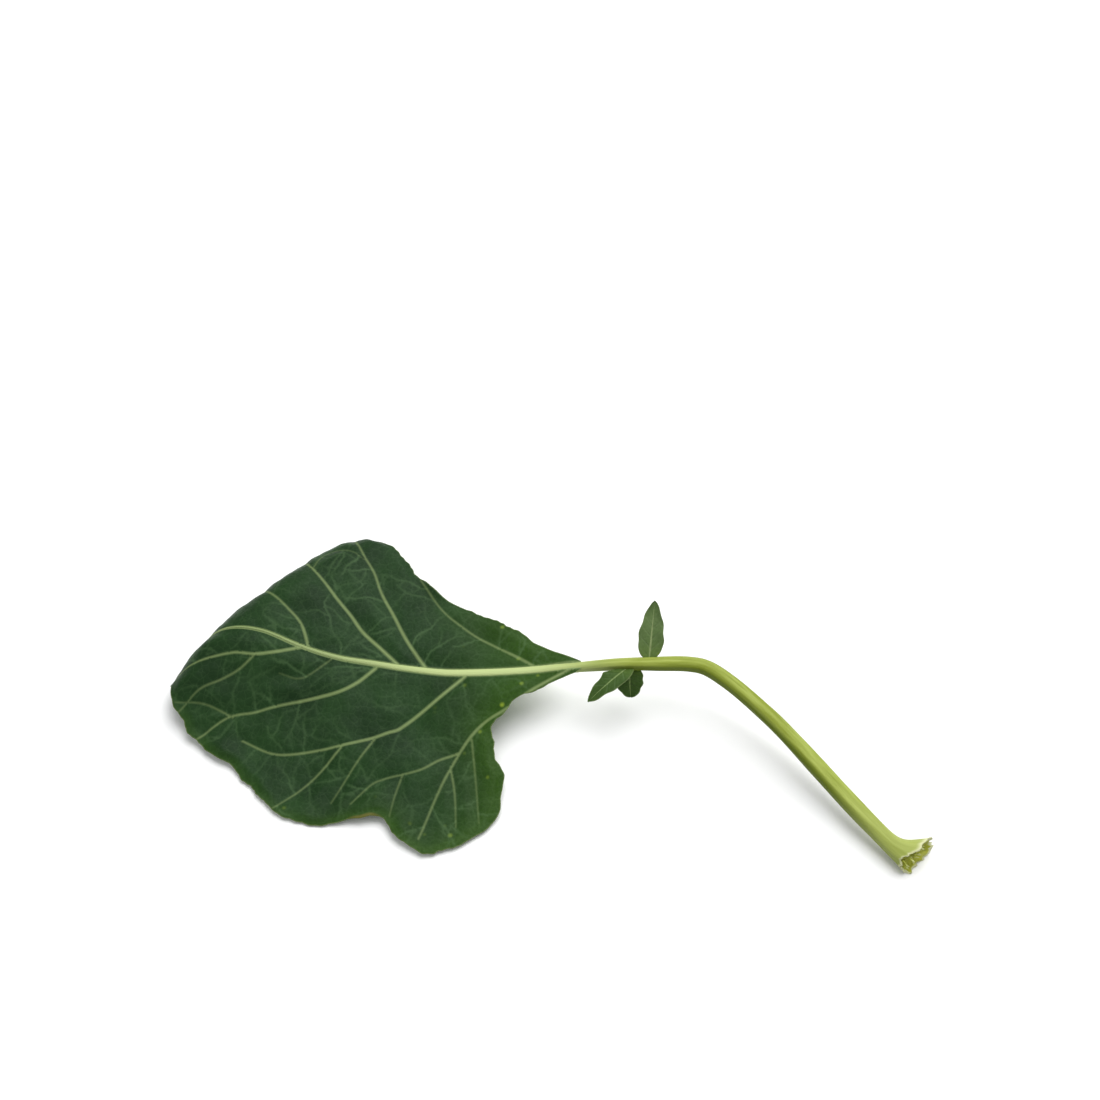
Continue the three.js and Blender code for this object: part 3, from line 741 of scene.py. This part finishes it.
# %% Rings of the midrib
def midrib_rings():
    rings = []
    for at in np.arange(RIB_END, 0, -RIB_STEP):
        half = rib_half(at)[0]
        heading = unit(midrib(at + 0.5) - midrib(at - 0.5))[0]
        across = np.array([-heading[1], heading[0]])
        edges = np.array([midrib(at)[0] + across * half * hand for hand in (-1, 1)])
        near, far = lay(edges[:, 0], edges[:, 1])
        side = unit(far - near)
        up = upward(np.array([at]), midrib(at)[:, 1])[0]
        up = unit(up - side * (up @ side))
        share = at / BLADE_LENGTH
        top = RIB_TOP(share)[0, 0] + 0.06 * math.sin(at / 4.7) * math.sin(at / 11)
        rings.append(section((near + far) / 2, side, up, np.linalg.norm(far - near) / 2, top,
                             RIB_DEPTH(share)[0, 0], flutes(-at, 0.5 * smooth(130, 30, at))))
    return rings


# %% Rings of the stalk
def sheath(distance, inset=0.0):
    """A ring round the stalk, each point at its own distance, set in from the skin by inset."""
    distance = np.broadcast_to(distance, SIDES)
    middle, _, side, up = stalk_frame(distance)
    flare = np.maximum(0, 1 - (STALK_LENGTH - distance) / FLARE_LENGTH) ** FLARE_BEND
    half = STALK_HALF(np.minimum(distance / STALK_LENGTH, 1))[:, 0]
    wide, rise, depth = (plain + (full / 2 - plain) * flare - inset for plain, full in (
        (half, FLARE_WIDTH), (half * 0.92, FLARE_HEIGHT), (half * 0.98, FLARE_HEIGHT)))
    strength = smooth(0, 14, distance) * np.maximum(0, 1 - 0.4 * flare)
    ring = section(middle + side * (MOUTH_SHIFT * flare)[:, None], side, up, wide, rise, depth,
                   flutes(distance, strength))
    ring[:, 2] = np.maximum(ring[:, 2], LOWEST + 0.8 * inset)
    return ring


def stalk_rings():
    return [sheath(distance) for distance in np.arange(0, STALK_LENGTH - MOUTH_START, STALK_STEP)]


# %% [markdown]
# The stalk ends in a sheath that was torn off the plant: it widens like a small trumpet, its
# wall thins to a ragged, whitish rim that reaches further on its far and lower sides, and the
# pith inside is torn into lumps. The rim is a few more rings whose points each stop at their own
# length, and the pith is the inner rim drawn in towards its middle.

# %% The torn mouth
MOUTH_WALL = 0.95
PITH_SHARES = (0.86, 0.7, 0.53, 0.36, 0.18)      # how far each pith ring is drawn in
PITH_LUMPS = 0.32
MOUTH_REACH = row_curve([        # degrees round from the far side, how far the rim reaches out
    (0, 1.5), (30, 0.7), (58, 0.3), (80, -0.6), (100, -1.8), (125, -3.4), (150, -4.1),
    (180, -2.6), (205, -0.6), (240, 1.8), (270, 3.2), (300, 3.4), (330, 2.6), (360, 1.5),
])


def mouth_rings():
    """Rings up to the ragged rim, over its lip, and in over the torn pith."""
    rough = np.random.default_rng(8).normal(0, 1, (12, SIDES))
    ragged = (0.45 * np.sin(5 * AROUND + 0.4) + 0.35 * np.sin(9 * AROUND + 2.1)
              + 0.3 * np.sin(16 * AROUND + 0.9))
    rim = STALK_LENGTH + MOUTH_REACH(np.degrees(AROUND))[:, 0] + ragged + 0.32 * rough[0]
    start = STALK_LENGTH - MOUTH_START
    outer = [sheath(start + share * (rim - start), -0.22 * rough[1] * share**5)
             for share in (0.18, 0.36, 0.54, 0.7, 0.82, 0.92, 1.0)]
    lip = [sheath(rim + 0.2 + 0.3 * rough[2], MOUTH_WALL * 0.45 + 0.12 * rough[3]),
           sheath(rim - 0.25 + 0.3 * rough[4], MOUTH_WALL + 0.15 * rough[5]),
           sheath(rim - 0.7, MOUTH_WALL + 0.15)]
    heading = stalk_frame(STALK_LENGTH)[1][0]
    core = lip[-1].mean(0)
    pith = []
    for share, lumps in zip(PITH_SHARES, rough[6:]):
        lumps = lumps + 1.2 * np.sin(4 * AROUND + share * 9)
        pith.append(core + (lip[-1] - core) * share + np.outer(PITH_LUMPS * lumps, heading))
    return outer + lip + pith


ribs, stems, mouths = midrib_rings(), stalk_rings(), mouth_rings()
strand = ribs + stems + mouths
print("the strand has", len(strand), "rings of", SIDES, "points")


# %% [markdown]
# Rings with the same number of points join into a skin with no guesswork: each point meets its
# own neighbour on the next ring. The skin carries its own numbers for the finish: the place
# round and along the stalk, how far into the torn mouth a point is, and how shaded its flank.

# %% Joining the strand
def ring_quads(rings, sides, start=0):
    """Faces between rings of points that follow one another."""
    faces = []
    for ring in range(start, start + (rings - 1) * sides, sides):
        for k in range(sides):
            a, b = ring + k, ring + (k + 1) % sides
            faces.append((a, b, b + sides, a + sides))
    return faces


def strand_faces():
    """A closed skin over all the rings, with one point at each end."""
    faces = ring_quads(len(strand), SIDES)
    first = len(strand) * SIDES
    end = first - SIDES
    for k in range(SIDES):
        after = (k + 1) % SIDES
        faces.append((first, after, k))
        faces.append((first + 1, end + k, end + after))
    return faces


def build_strand():
    tip = strand[0].mean(0) + (strand[0].mean(0) - strand[1].mean(0)) * 0.8
    points = np.vstack([*strand, tip, strand[-1].mean(0)])
    points[:, 2] = np.maximum(points[:, 2], LOWEST)
    along = np.concatenate([np.linspace(-RIB_END, 0, len(ribs)),
                            np.linspace(0, STALK_LENGTH - MOUTH_START, len(stems)),
                            STALK_LENGTH - MOUTH_START + np.arange(1, len(mouths) + 1)])
    mouth = np.concatenate([np.zeros(len(ribs) + len(stems)), np.linspace(0, 1, len(mouths))])
    along = np.append(np.repeat(along, SIDES), [-RIB_END, STALK_LENGTH])
    mouth = np.append(np.repeat(mouth, SIDES), [0, 1])
    turn = np.append(np.tile(AROUND, len(strand)), [0, 0])
    skin = np.column_stack([np.cos(turn), np.sin(turn), along])
    shade = 0.5 - 0.5 * np.sin(turn + 0.7)   # painted shade on the near and lower flanks, over a partly real deeper green
    return make_object("stalk_skin", points, strand_faces(), {
        "skin": skin, "along": along, "mouth": mouth, "shade": shade})


stalk = build_strand()

# %% [markdown]
# ## Torn fibres
# Tough strands run through the stalk, and where it tore they stick out of the pith. Each is a
# thin tapered tube with a bend of its own. A particle system would do it too, but a couple of
# dozen small tubes stay closed solids and need nothing else.

# %% Fibres in the mouth
FIBRES = 26
FIBRE_SIDES, FIBRE_RINGS = 7, 9
FIBRE_ROOT = 3.4                 # how deep in the mouth they start
FIBRE_LENGTH, FIBRE_THICK = (2.2, 4.2), (0.3, 0.75)
FINEST = 0.07


def build_fibres():
    draw = np.random.default_rng(21)
    middle, heading, side, up = (a[0] for a in stalk_frame(STALK_LENGTH))
    points, faces, tips = [], [], []
    turn = np.arange(FIBRE_SIDES) / FIBRE_SIDES * 2 * np.pi
    for _ in range(FIBRES):
        angle, reach = draw.uniform(0, 2 * np.pi), draw.uniform(0.1, 0.92) ** 0.6
        root = (middle + side * (math.cos(angle) * reach * FLARE_WIDTH * 0.36 + MOUTH_SHIFT)
                + up * math.sin(angle) * reach * FLARE_HEIGHT * 0.3 - heading * FIBRE_ROOT)
        spread = side * math.cos(angle) * 0.35 * reach + up * math.sin(angle) * 0.28 * reach
        way = unit(heading + spread + draw.normal(0, 0.14, 3))
        bend = draw.normal(0, 0.75, 3) + up * 0.3
        length, thick = draw.uniform(*FIBRE_LENGTH), draw.uniform(*FIBRE_THICK)
        start = len(points)
        for s in np.linspace(0, 1, FIBRE_RINGS):
            at = root + way * length * s + bend * s**2 * 1.3
            one = unit(np.cross(way, up))
            other = np.cross(way, one)
            radius = thick * (1 - 0.75 * s**1.5) * (1 + 0.25 * draw.normal())
            for a in turn:
                points.append(at + (one * math.cos(a) + other * math.sin(a)) * max(radius, FINEST))
                tips.append(s)
        faces += ring_quads(FIBRE_RINGS, FIBRE_SIDES, start)
        faces.append(tuple(range(start, start + FIBRE_SIDES))[::-1])
        faces.append(tuple(range(len(points) - FIBRE_SIDES, len(points))))
    return make_object("torn_fibres", np.array(points), faces, {"tip": tips})


fibres = build_fibres()

# %% [markdown]
# ## Side lobes
# Three little leaves sit on the stalk below the blade. Each is a small sheet of its own, with a
# midvein, a handful of side veins, a soft wavy edge and a cupped face. They share one builder
# and differ in where they grow, how long and wide they are and how they droop.

# %% The lobes' sizes and veins
LOBE_SHEET, THIN_LOBE_EDGE = 0.6, 0.4
LOBE_TUCK = 0.9                  # how deep a lobe's root sits in the stalk
LOBE_ROWS, LOBE_COLUMNS = 72, 40
LOBES = {                        # by the frame's names; at is the way along the stalk in mm
    "side_lobe_far": dict(
        name="lobe_far", at=32, hand=1, lift=42, length=27.5, width=11.5, root=5,
        sweep=-0.1, droop=2, cup=1.6, blunt=0.6, seed=1),
    "side_lobe_near_long": dict(
        name="lobe_near_long", at=22.5, hand=-1, lift=-4, length=23, width=10.5, root=5,
        sweep=1.15, droop=4, cup=0.8, blunt=0.6, seed=2),
    "side_lobe_near_round": dict(
        name="lobe_near_round", at=23, hand=-1, lift=-48, length=14, width=12.5, root=3.5,
        sweep=0.0, droop=-1.5, cup=1.2, blunt=0.42, seed=3),
}


def lobe_veins(t, w):
    """How strongly each spot of a lobe is on a vein: the midvein, then the side veins."""
    middle = smooth(1, 0, np.abs(w) / (0.11 * (1.25 - t)))
    lean = np.abs(w) * 0.2
    beat = ((t - lean) * 5.5 + 0.25 * (w > 0)) % 1
    branch = smooth(0.085, 0.0, np.minimum(beat, 1 - beat)) * smooth(1.0, 0.75, np.abs(w))
    return middle, branch * smooth(0.95, 0.6, t) * smooth(0, 0.15, t)


# %% A lobe's faces
def lobe_faces(count, columns, flip):
    """Both sides of a sheet of rows and columns, and the band round its rim."""
    rows = count // columns
    faces = []
    for i in range(rows - 1):
        for j in range(columns - 1):
            a = i * columns + j
            quad = (a, a + columns, a + columns + 1, a + 1)
            low = tuple(count + q for q in quad)
            faces += [quad[::-1], low] if flip else [quad, low[::-1]]
    rim = list(range(columns))
    rim += [i * columns - 1 for i in range(2, rows + 1)]
    rim += list(range(count - 2, count - columns - 1, -1))
    rim += [i * columns for i in range(rows - 2, 0, -1)]
    for a, b in zip(rim, rim[1:] + rim[:1]):
        band = (a, b, b + count, a + count)
        faces.append(band[::-1] if flip else band)
    return faces


# %% Building a lobe
def build_lobe(name, at, hand, lift, length, width, root, sweep, droop, cup, blunt, seed):
    middle, forward, side, up = (a[0] for a in stalk_frame(at))
    angle = math.radians(lift)
    out = side * hand * math.cos(angle) + up * math.sin(angle)
    foot = middle + out * (STALK_HALF(at / STALK_LENGTH)[0, 0] - LOBE_TUCK)
    run = unit(out - forward * sweep)
    straight = unit(forward - run * (run @ forward))
    face = np.cross(straight, run) * hand          # the way its upper side looks
    t, w = (a.ravel() for a in np.meshgrid(np.linspace(0, 1, LOBE_ROWS + 1),
                                           np.linspace(-1, 1, LOBE_COLUMNS + 1), indexing="ij"))
    half = np.maximum(np.maximum(0.6, root / 2 * (1 - t)),
                      width / 2 * np.sin(np.pi * t**0.6) ** blunt)
    half *= 1 + 0.05 * np.sin(t * 19 + seed + 1.5 * np.sign(w)) * smooth(0.1, 0.4, t)
    half *= smooth(1.03, 0.97, t) * 0.85 + 0.15
    blend = np.minimum(1, 2 * t)[:, None]
    across = unit(forward * (1 - blend) + straight * blend)
    vein, branch = lobe_veins(t, w)
    wavy = 0.45 * np.sin(t * 14 + 2 * seed + w * 1.2) * w**2 * smooth(0.1, 0.5, t)
    quilt = 0.3 * (1 - branch) * (1 - w**2) * smooth(0, 0.2, t) - 0.25 * vein
    lift_up = (wavy + quilt + cup * w * w * np.minimum(1, 2 * t))[:, None] * face
    sheet = (foot + np.outer(length * t, run) - np.outer(droop * t * t, [0, 0, 1])
             + across * (half * w)[:, None] + lift_up)
    thick = LOBE_SHEET * (THIN_LOBE_EDGE + (1 - THIN_LOBE_EDGE)
                          * smooth(1, 0.8, np.abs(w)) * smooth(1, 0.93, t))
    rib = 0.5 * vein * (1.1 - t)
    top = sheet + face * (thick / 2)[:, None]
    under = sheet - face * (thick / 2 + rib)[:, None]
    nothing = np.zeros(len(t))
    marks = {"flat": np.column_stack([t * length, w * half, nothing + 40 * seed]),
             "vein": vein, "small": branch, "edge": (1 - np.abs(w)) * half,
             "glow": smooth(0.35, 0, t), "bend": nothing, "curl": nothing}
    marks = {label: np.concatenate([values, values]) for label, values in marks.items()}
    marks["under"] = np.repeat([0.0, 1.0], len(t))
    faces = lobe_faces(len(t), LOBE_COLUMNS + 1, hand > 0)
    return make_object(name, np.vstack([top, under]), faces, marks)


lobes = {stands_for: build_lobe(**lobe) for stands_for, lobe in LOBES.items()}

# %% [markdown]
# ## Finishes: shared effects
# The leaf skin, the side lobes and the stalk have things in common: uneven pigment, tiny specks
# and pores, a net of the finest veins. Each of these is a node group with named sockets, built
# once and set differently in every material, so a change to one effect reaches all of them.

# %% A short way to place nodes
def node(tree, kind, links=None, **values):
    """Adds a node, sets its own settings, and links or fills its sockets by name or number."""
    made = tree.nodes.new(kind)
    for key, value in values.items():
        setattr(made, key, value)
    for socket, source in (links or {}).items():
        if isinstance(source, bpy.types.NodeSocket):
            tree.links.new(source, made.inputs[socket])
        else:
            made.inputs[socket].default_value = source
    return made


def maths(tree, operation, *sources):
    return node(tree, "ShaderNodeMath", dict(enumerate(sources)), operation=operation).outputs[0]


def ramp(tree, source, low, high):
    """A soft step from 0 at low to 1 at high."""
    return node(tree, "ShaderNodeMapRange", {"Value": source, "From Min": low, "From Max": high},
                interpolation_type="SMOOTHSTEP").outputs["Result"]


def blend(tree, factor, below, above):
    """Mixes two colours; the Mix node keeps its colours on sockets 6 and 7."""
    return node(tree, "ShaderNodeMix", {0: factor, 6: below, 7: above},
                data_type="RGBA").outputs[2]


# %% Masks and painted numbers
def tint(tree, colour, mask, strength, tone):
    """Lays a tone over a colour where the mask is, at most this strongly."""
    return blend(tree, maths(tree, "MULTIPLY", mask, strength), colour, tone)


def core(tree, source, width):
    """1 where the source is 0, fading out at this width."""
    return node(tree, "ShaderNodeMapRange", {
        "Value": source, "From Max": width, "To Min": 1.0, "To Max": 0.0},
        interpolation_type="SMOOTHSTEP").outputs["Result"]


def vector_maths(tree, operation, one, other):
    return node(tree, "ShaderNodeVectorMath", {0: one, 1: other}, operation=operation).outputs[0]


def attribute(tree, name, output="Fac"):
    return node(tree, "ShaderNodeAttribute", attribute_name=name).outputs[output]


def new_material(name):
    material = bpy.data.materials.new(name)
    material.use_nodes = True
    tree = material.node_tree
    return material, tree, tree.nodes["Principled BSDF"]


def srgb(red, green, blue):
    """A colour as one reads it off a colour card, from 0 to 255, turned into light."""
    def linear(c):
        c = c / 255
        return c / 12.92 if c <= 0.04045 else ((c + 0.055) / 1.055) ** 2.4
    return (linear(red), linear(green), linear(blue), 1.0)


# %% Making and placing groups
def new_group(name, inputs, outputs):
    """An empty shader group with named float or vector inputs and float outputs."""
    tree = bpy.data.node_groups.new(name, "ShaderNodeTree")
    for label, start in inputs.items():
        kind = "NodeSocketVector" if start is None else "NodeSocketFloat"
        socket = tree.interface.new_socket(label, in_out="INPUT", socket_type=kind)
        if start is not None:
            socket.default_value = start
    for label in outputs:
        tree.interface.new_socket(label, in_out="OUTPUT", socket_type="NodeSocketFloat")
    return tree, tree.nodes.new("NodeGroupInput").outputs, tree.nodes.new("NodeGroupOutput").inputs


def use(tree, group, **links):
    """Places a group in a material and gives its outputs."""
    named = {label.replace("_", " "): source for label, source in links.items()}
    return node(tree, "ShaderNodeGroup", named, node_tree=group).outputs


# %% Uneven pigment
pigment, given, out = new_group("Uneven pigment", {"Place": None, "Patch size": 20.0,
                                                    "Grain size": 1.5}, ["Patches", "Grain"])
for label, size, detail in (("Patches", "Patch size", 3.0), ("Grain", "Grain size", 2.0)):
    scale = maths(pigment, "DIVIDE", 1.0, given[size])
    cloud = node(pigment, "ShaderNodeTexNoise", {
        "Vector": given["Place"], "Scale": scale, "Detail": detail, "Roughness": 0.55})
    pigment.links.new(ramp(pigment, cloud.outputs[0], 0.3, 0.7), out[label])
print("group:", pigment.name)

# %% The net of the finest veins
fine_net, given, out = new_group("Fine vein net", {"Place": None, "Mesh size": 3.0,
                                                    "Line width": 0.08}, ["Net", "Pillow"])
WOBBLE = (2.0, 2.0, 2.0)         # millimetres that a crossing may be moved
wobble = node(fine_net, "ShaderNodeTexNoise", {"Vector": given["Place"], "Scale": 0.35,
                                               "Detail": 2.0})
shift = vector_maths(fine_net, "MULTIPLY", wobble.outputs["Color"], WOBBLE)
moved = vector_maths(fine_net, "ADD", given["Place"], shift)
cells = node(fine_net, "ShaderNodeTexVoronoi", {
    "Vector": moved, "Scale": maths(fine_net, "DIVIDE", 1.0, given["Mesh size"]),
    "Randomness": 0.9}, feature="DISTANCE_TO_EDGE").outputs["Distance"]
fine_net.links.new(core(fine_net, cells, given["Line width"]), out["Net"])
fine_net.links.new(ramp(fine_net, cells, 0.0, 0.35), out["Pillow"])
print("group:", fine_net.name)

# %% Specks and pores
specks, given, out = new_group("Specks", {"Place": None, "Spacing": 6.0, "Speck size": 0.1,
                                           "Share": 0.3}, ["Specks"])
spots = node(specks, "ShaderNodeTexVoronoi", {
    "Vector": given["Place"], "Scale": maths(specks, "DIVIDE", 1.0, given["Spacing"])})
chosen = node(specks, "ShaderNodeSeparateColor", {0: spots.outputs["Color"]}).outputs[0]
chosen = maths(specks, "LESS_THAN", chosen, given["Share"])
round_spot = core(specks, spots.outputs["Distance"], given["Speck size"])
specks.links.new(maths(specks, "MULTIPLY", chosen, round_spot), out["Specks"])
print("group:", specks.name)


# %% [markdown]
# ## Finish: leaf skin
# The upper side is a dark blue-green waxy skin, warmer towards the foot, with pale veins and a
# thin pale line round the margin, and a painted sheen greys it where the blade turns away, as if
# it mirrored the light from behind. The underside is a matt sage. One recipe makes both the
# blade's and the lobes' skin, and the numbers painted on the mesh say where the veins, the margin
# and the underside are.

# %% Leaf skin
LEAF_GLOSS = 0.11                # a waxy leaf mirrors little
# the first colour is a painted sheen, laid where the blade turns away from above
PAINTED_SHEEN, MARGIN_TONE = srgb(96, 110, 94), srgb(118, 132, 84)
YELLOW_SPECK, DRIED = srgb(124, 146, 40), srgb(96, 92, 40)


def toned(colour, factor):
    return tuple(c * factor for c in colour[:3]) + (1.0,)


def leaf_skin(name, dark, light, warm, vein_colour, small_colour, under_colour, small_strength):
    material, tree, shader = new_material(name)
    place = attribute(tree, "flat", "Vector")
    patches = use(tree, pigment, Place=place, Patch_size=26.0, Grain_size=1.3)
    net = use(tree, fine_net, Place=place, Mesh_size=3.4, Line_width=0.07)
    yellow = use(tree, specks, Place=place, Spacing=8.0, Speck_size=0.2, Share=0.6)
    dots = use(tree, specks, Place=place, Spacing=2.3, Speck_size=0.1, Share=0.25)
    vein, small = attribute(tree, "vein"), attribute(tree, "small")
    edge, glow = attribute(tree, "edge"), attribute(tree, "glow")

    colour = blend(tree, patches["Patches"], dark, light)
    colour = tint(tree, colour, glow, 0.85, warm)
    colour = tint(tree, colour, patches["Grain"], 0.22, toned(dark, 0.6))
    # painted sheen: where the blade turns away from above it is greyed, as if mirroring the light
    # from behind
    painted_sheen_mask = ramp(tree, attribute(tree, "bend"), 0.08, 0.45)
    colour = tint(tree, colour, painted_sheen_mask, 0.42, PAINTED_SHEEN)
    colour = tint(tree, colour, net["Net"], 0.1, small_colour)
    colour = tint(tree, colour, dots["Specks"], 0.2, small_colour)
    colour = tint(tree, colour, yellow["Specks"], glow, YELLOW_SPECK)
    colour = tint(tree, colour, small, small_strength, small_colour)
    colour = blend(tree, vein, colour, vein_colour)
    colour = tint(tree, colour, ramp(tree, edge, 0.55, 0.0), 0.6, MARGIN_TONE)
    colour = tint(tree, colour, ramp(tree, attribute(tree, "curl"), 0.35, 0.8), 0.8, DRIED)

    sage = blend(tree, patches["Patches"], under_colour, toned(under_colour, 1.25))
    for mask, strength in ((net["Net"], 0.25), (small, 0.55), (vein, 0.85)):
        sage = tint(tree, sage, mask, strength, vein_colour)
    colour = blend(tree, attribute(tree, "under"), colour, sage)
    tree.links.new(colour, shader.inputs["Base Color"])

    rough = maths(tree, "MULTIPLY_ADD", patches["Grain"], 0.12, 0.47)
    rough = maths(tree, "MULTIPLY_ADD", attribute(tree, "under"), 0.22, rough)
    tree.links.new(rough, shader.inputs["Roughness"])
    shader.inputs["Specular IOR Level"].default_value = LEAF_GLOSS
    skin = maths(tree, "ADD", maths(tree, "MULTIPLY", net["Pillow"], 0.6),
                 maths(tree, "MULTIPLY", patches["Grain"], 0.5))
    bump = node(tree, "ShaderNodeBump", {"Strength": 0.35, "Distance": 0.00022, "Height": skin})
    tree.links.new(bump.outputs["Normal"], shader.inputs["Normal"])
    return material


# %% The three leaf finishes
blade_finish = leaf_skin(
    "blade leaf skin", dark=srgb(20, 45, 17), light=srgb(30, 59, 24), warm=srgb(46, 77, 14),
    vein_colour=srgb(124, 142, 90), small_colour=srgb(80, 108, 68),
    under_colour=srgb(104, 124, 84), small_strength=0.5)
lobe_finish = leaf_skin(
    "side lobe skin", dark=srgb(46, 70, 22), light=srgb(68, 94, 42), warm=srgb(78, 104, 34),
    vein_colour=srgb(128, 148, 92), small_colour=srgb(84, 108, 66),
    under_colour=srgb(118, 140, 92), small_strength=0.45)
# painted light: the far lobe wears a lighter copy of the side lobe skin, for the light and greyish
# sheen it catches
lit_lobe_finish = leaf_skin(
    "side lobe skin with painted light", dark=srgb(84, 107, 58), light=srgb(110, 132, 84),
    warm=srgb(100, 124, 62), vein_colour=srgb(146, 162, 110), small_colour=srgb(122, 142, 96),
    under_colour=srgb(118, 140, 92), small_strength=0.4)
print("finishes:", ", ".join(m.name for m in (blade_finish, lobe_finish, lit_lobe_finish)))

# %% [markdown]
# ## Finish: stalk skin
# The midrib is nearly white-green. Along the stalk it turns to a fresh yellow-green with soft
# darker streaks that run lengthwise, fine pores, and a pale, almost white torn rim. The streaks
# come from a cloud texture squeezed along the stalk: it is read over the ring's own circle and a
# much shortened length, so it has no seam.

# %% Stalk skin
STREAK_SCALE, PORE_SCALE = (3.0, 3.0, 0.055), (4.0, 4.0, 0.6)
STALK_GLOSS = 0.17


def stalk_skin():
    material, tree, shader = new_material("stalk skin")
    around = attribute(tree, "skin", "Vector")
    stretched = vector_maths(tree, "MULTIPLY", around, STREAK_SCALE)
    streaks = use(tree, pigment, Place=stretched, Patch_size=1.6, Grain_size=0.35)
    flecked = vector_maths(tree, "MULTIPLY", around, PORE_SCALE)
    pores = use(tree, specks, Place=flecked, Spacing=1.3, Speck_size=0.16, Share=0.3)
    along, mouth = attribute(tree, "along"), attribute(tree, "mouth")

    colour = blend(tree, streaks["Patches"], srgb(128, 140, 38), srgb(160, 172, 80))
    colour = tint(tree, colour, streaks["Grain"], 0.3, srgb(116, 132, 34))
    # painted shade: the near and lower flanks, by the shade number, turn a deeper green, partly
    # their own colour
    flank = ramp(tree, attribute(tree, "shade"), 0.28, 0.75)
    colour = tint(tree, colour, flank, 0.92, srgb(80, 96, 0))
    colour = blend(tree, ramp(tree, along, 30.0, -25.0), colour, srgb(178, 192, 130))
    colour = blend(tree, ramp(tree, along, -50.0, -140.0), colour, srgb(134, 151, 98))
    colour = tint(tree, colour, ramp(tree, along, 130.0, 172.0), 0.5, srgb(166, 176, 98))
    colour = tint(tree, colour, pores["Specks"], 0.35, srgb(120, 138, 48))
    torn = blend(tree, streaks["Patches"], srgb(134, 140, 16), srgb(182, 186, 70))
    colour = blend(tree, ramp(tree, mouth, 0.52, 0.64), colour, torn)
    colour = tint(tree, colour, ramp(tree, mouth, 0.24, 0.42), ramp(tree, mouth, 0.64, 0.56),
                  srgb(202, 204, 158))
    tree.links.new(colour, shader.inputs["Base Color"])
    tree.links.new(maths(tree, "MULTIPLY_ADD", streaks["Grain"], 0.14, 0.36),
                   shader.inputs["Roughness"])
    shader.inputs["Specular IOR Level"].default_value = STALK_GLOSS
    bump = node(tree, "ShaderNodeBump", {"Strength": 0.3, "Distance": 0.0002,
                                         "Height": streaks["Grain"]})
    tree.links.new(bump.outputs["Normal"], shader.inputs["Normal"])
    return material


# %% [markdown]
# The torn fibres are the same pith, drier and whiter at their tips. The tubes are all cut from
# one cloud texture, so no two have quite the same colour.

# %% Torn fibres
def fibre_finish():
    material, tree, shader = new_material("torn fibre")
    place = node(tree, "ShaderNodeTexCoord").outputs["Object"]
    cloud = use(tree, pigment, Place=place, Patch_size=0.002, Grain_size=0.0005)
    colour = blend(tree, cloud["Patches"], srgb(138, 148, 28), srgb(176, 182, 70))
    colour = blend(tree, ramp(tree, attribute(tree, "tip"), 0.6, 1.0), colour,
                   srgb(204, 208, 150))
    tree.links.new(colour, shader.inputs["Base Color"])
    shader.inputs["Roughness"].default_value = 0.5
    return material


for piece, finish in ((blade, blade_finish), (stalk, stalk_skin()), (fibres, fibre_finish()),
                      (lobes["side_lobe_far"], lit_lobe_finish),
                      (lobes["side_lobe_near_long"], lobe_finish),
                      (lobes["side_lobe_near_round"], lobe_finish)):
    piece.data.materials.append(finish)
    print(piece.name, "wears", finish.name)

# %% [markdown]
# ## Tying the pieces to the frame
# The leaf is one body with no joints, so every piece rides on the root. The pieces that stand for
# one of the frame's solids also hide it.

# %% Ride and replace
for piece, nodes, slot in ((blade, ["blade"], "blade"), (stalk, ["stalk"], "stalk"),
                           (fibres, [], "stalk"),
                           *((lobe, [name], "side_lobes") for name, lobe in lobes.items())):
    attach(piece, "root")
    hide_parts(*nodes)

# %% [markdown]
# ## The surface, the light and the camera
# A white table under a big soft light from above and behind gives the leaf its faint shadows, and
# the cool sheen on its ridge is mostly painted into the leaf's colour. A weak lamp from the front
# and an even pale world fill the shadows.
# The camera looks down at fifty degrees through a longish lens, so that the near and the far
# parts of the leaf keep much the same scale.

# %% Floor
bpy.ops.mesh.primitive_plane_add(size=8)
floor = bpy.context.object
floor.name = "floor"
paper, _, paper_shader = new_material("pale floor")
paper_shader.inputs["Base Color"].default_value = (0.92, 0.92, 0.92, 1)
paper_shader.inputs["Roughness"].default_value = 0.9
floor.data.materials.append(paper)


# %% Lights
def soft_light(name, place, target, size, power):
    light = bpy.data.lights.new(name, "AREA")
    light.size, light.energy = size, power
    made = bpy.data.objects.new(name, light)
    made.location = place
    made.rotation_euler = (Vector(target) - Vector(place)).to_track_quat("-Z", "Y").to_euler()
    bpy.context.scene.collection.objects.link(made)
    return made


soft_light("overhead", (0.40, 0.75, 1.45), (0, 0, 0), 1.9, 41)
soft_light("fill", (-0.9, -0.6, 1.1), (0, 0, 0), 1.2, 3)
world = bpy.data.worlds.new("studio")
bpy.context.scene.world = world
world.use_nodes = True
world.node_tree.nodes["Background"].inputs["Color"].default_value = (0.98, 0.99, 1.0, 1)
world.node_tree.nodes["Background"].inputs["Strength"].default_value = 0.42
bpy.context.scene.view_settings.view_transform = "Standard"

# %% Camera
CAMERA_PLACE = (0.0049, -0.4830, 0.6894)
CAMERA_TILT = math.radians(40)   # from straight down
camera_data = bpy.data.cameras.new("camera")
camera_data.lens, camera_data.sensor_width = 60, 36
camera = bpy.data.objects.new("camera", camera_data)
camera.location = CAMERA_PLACE
camera.rotation_euler = (CAMERA_TILT, 0, 0)
bpy.context.scene.collection.objects.link(camera)
bpy.context.scene.camera = camera
print("camera at", tuple(round(c, 3) for c in camera.location))
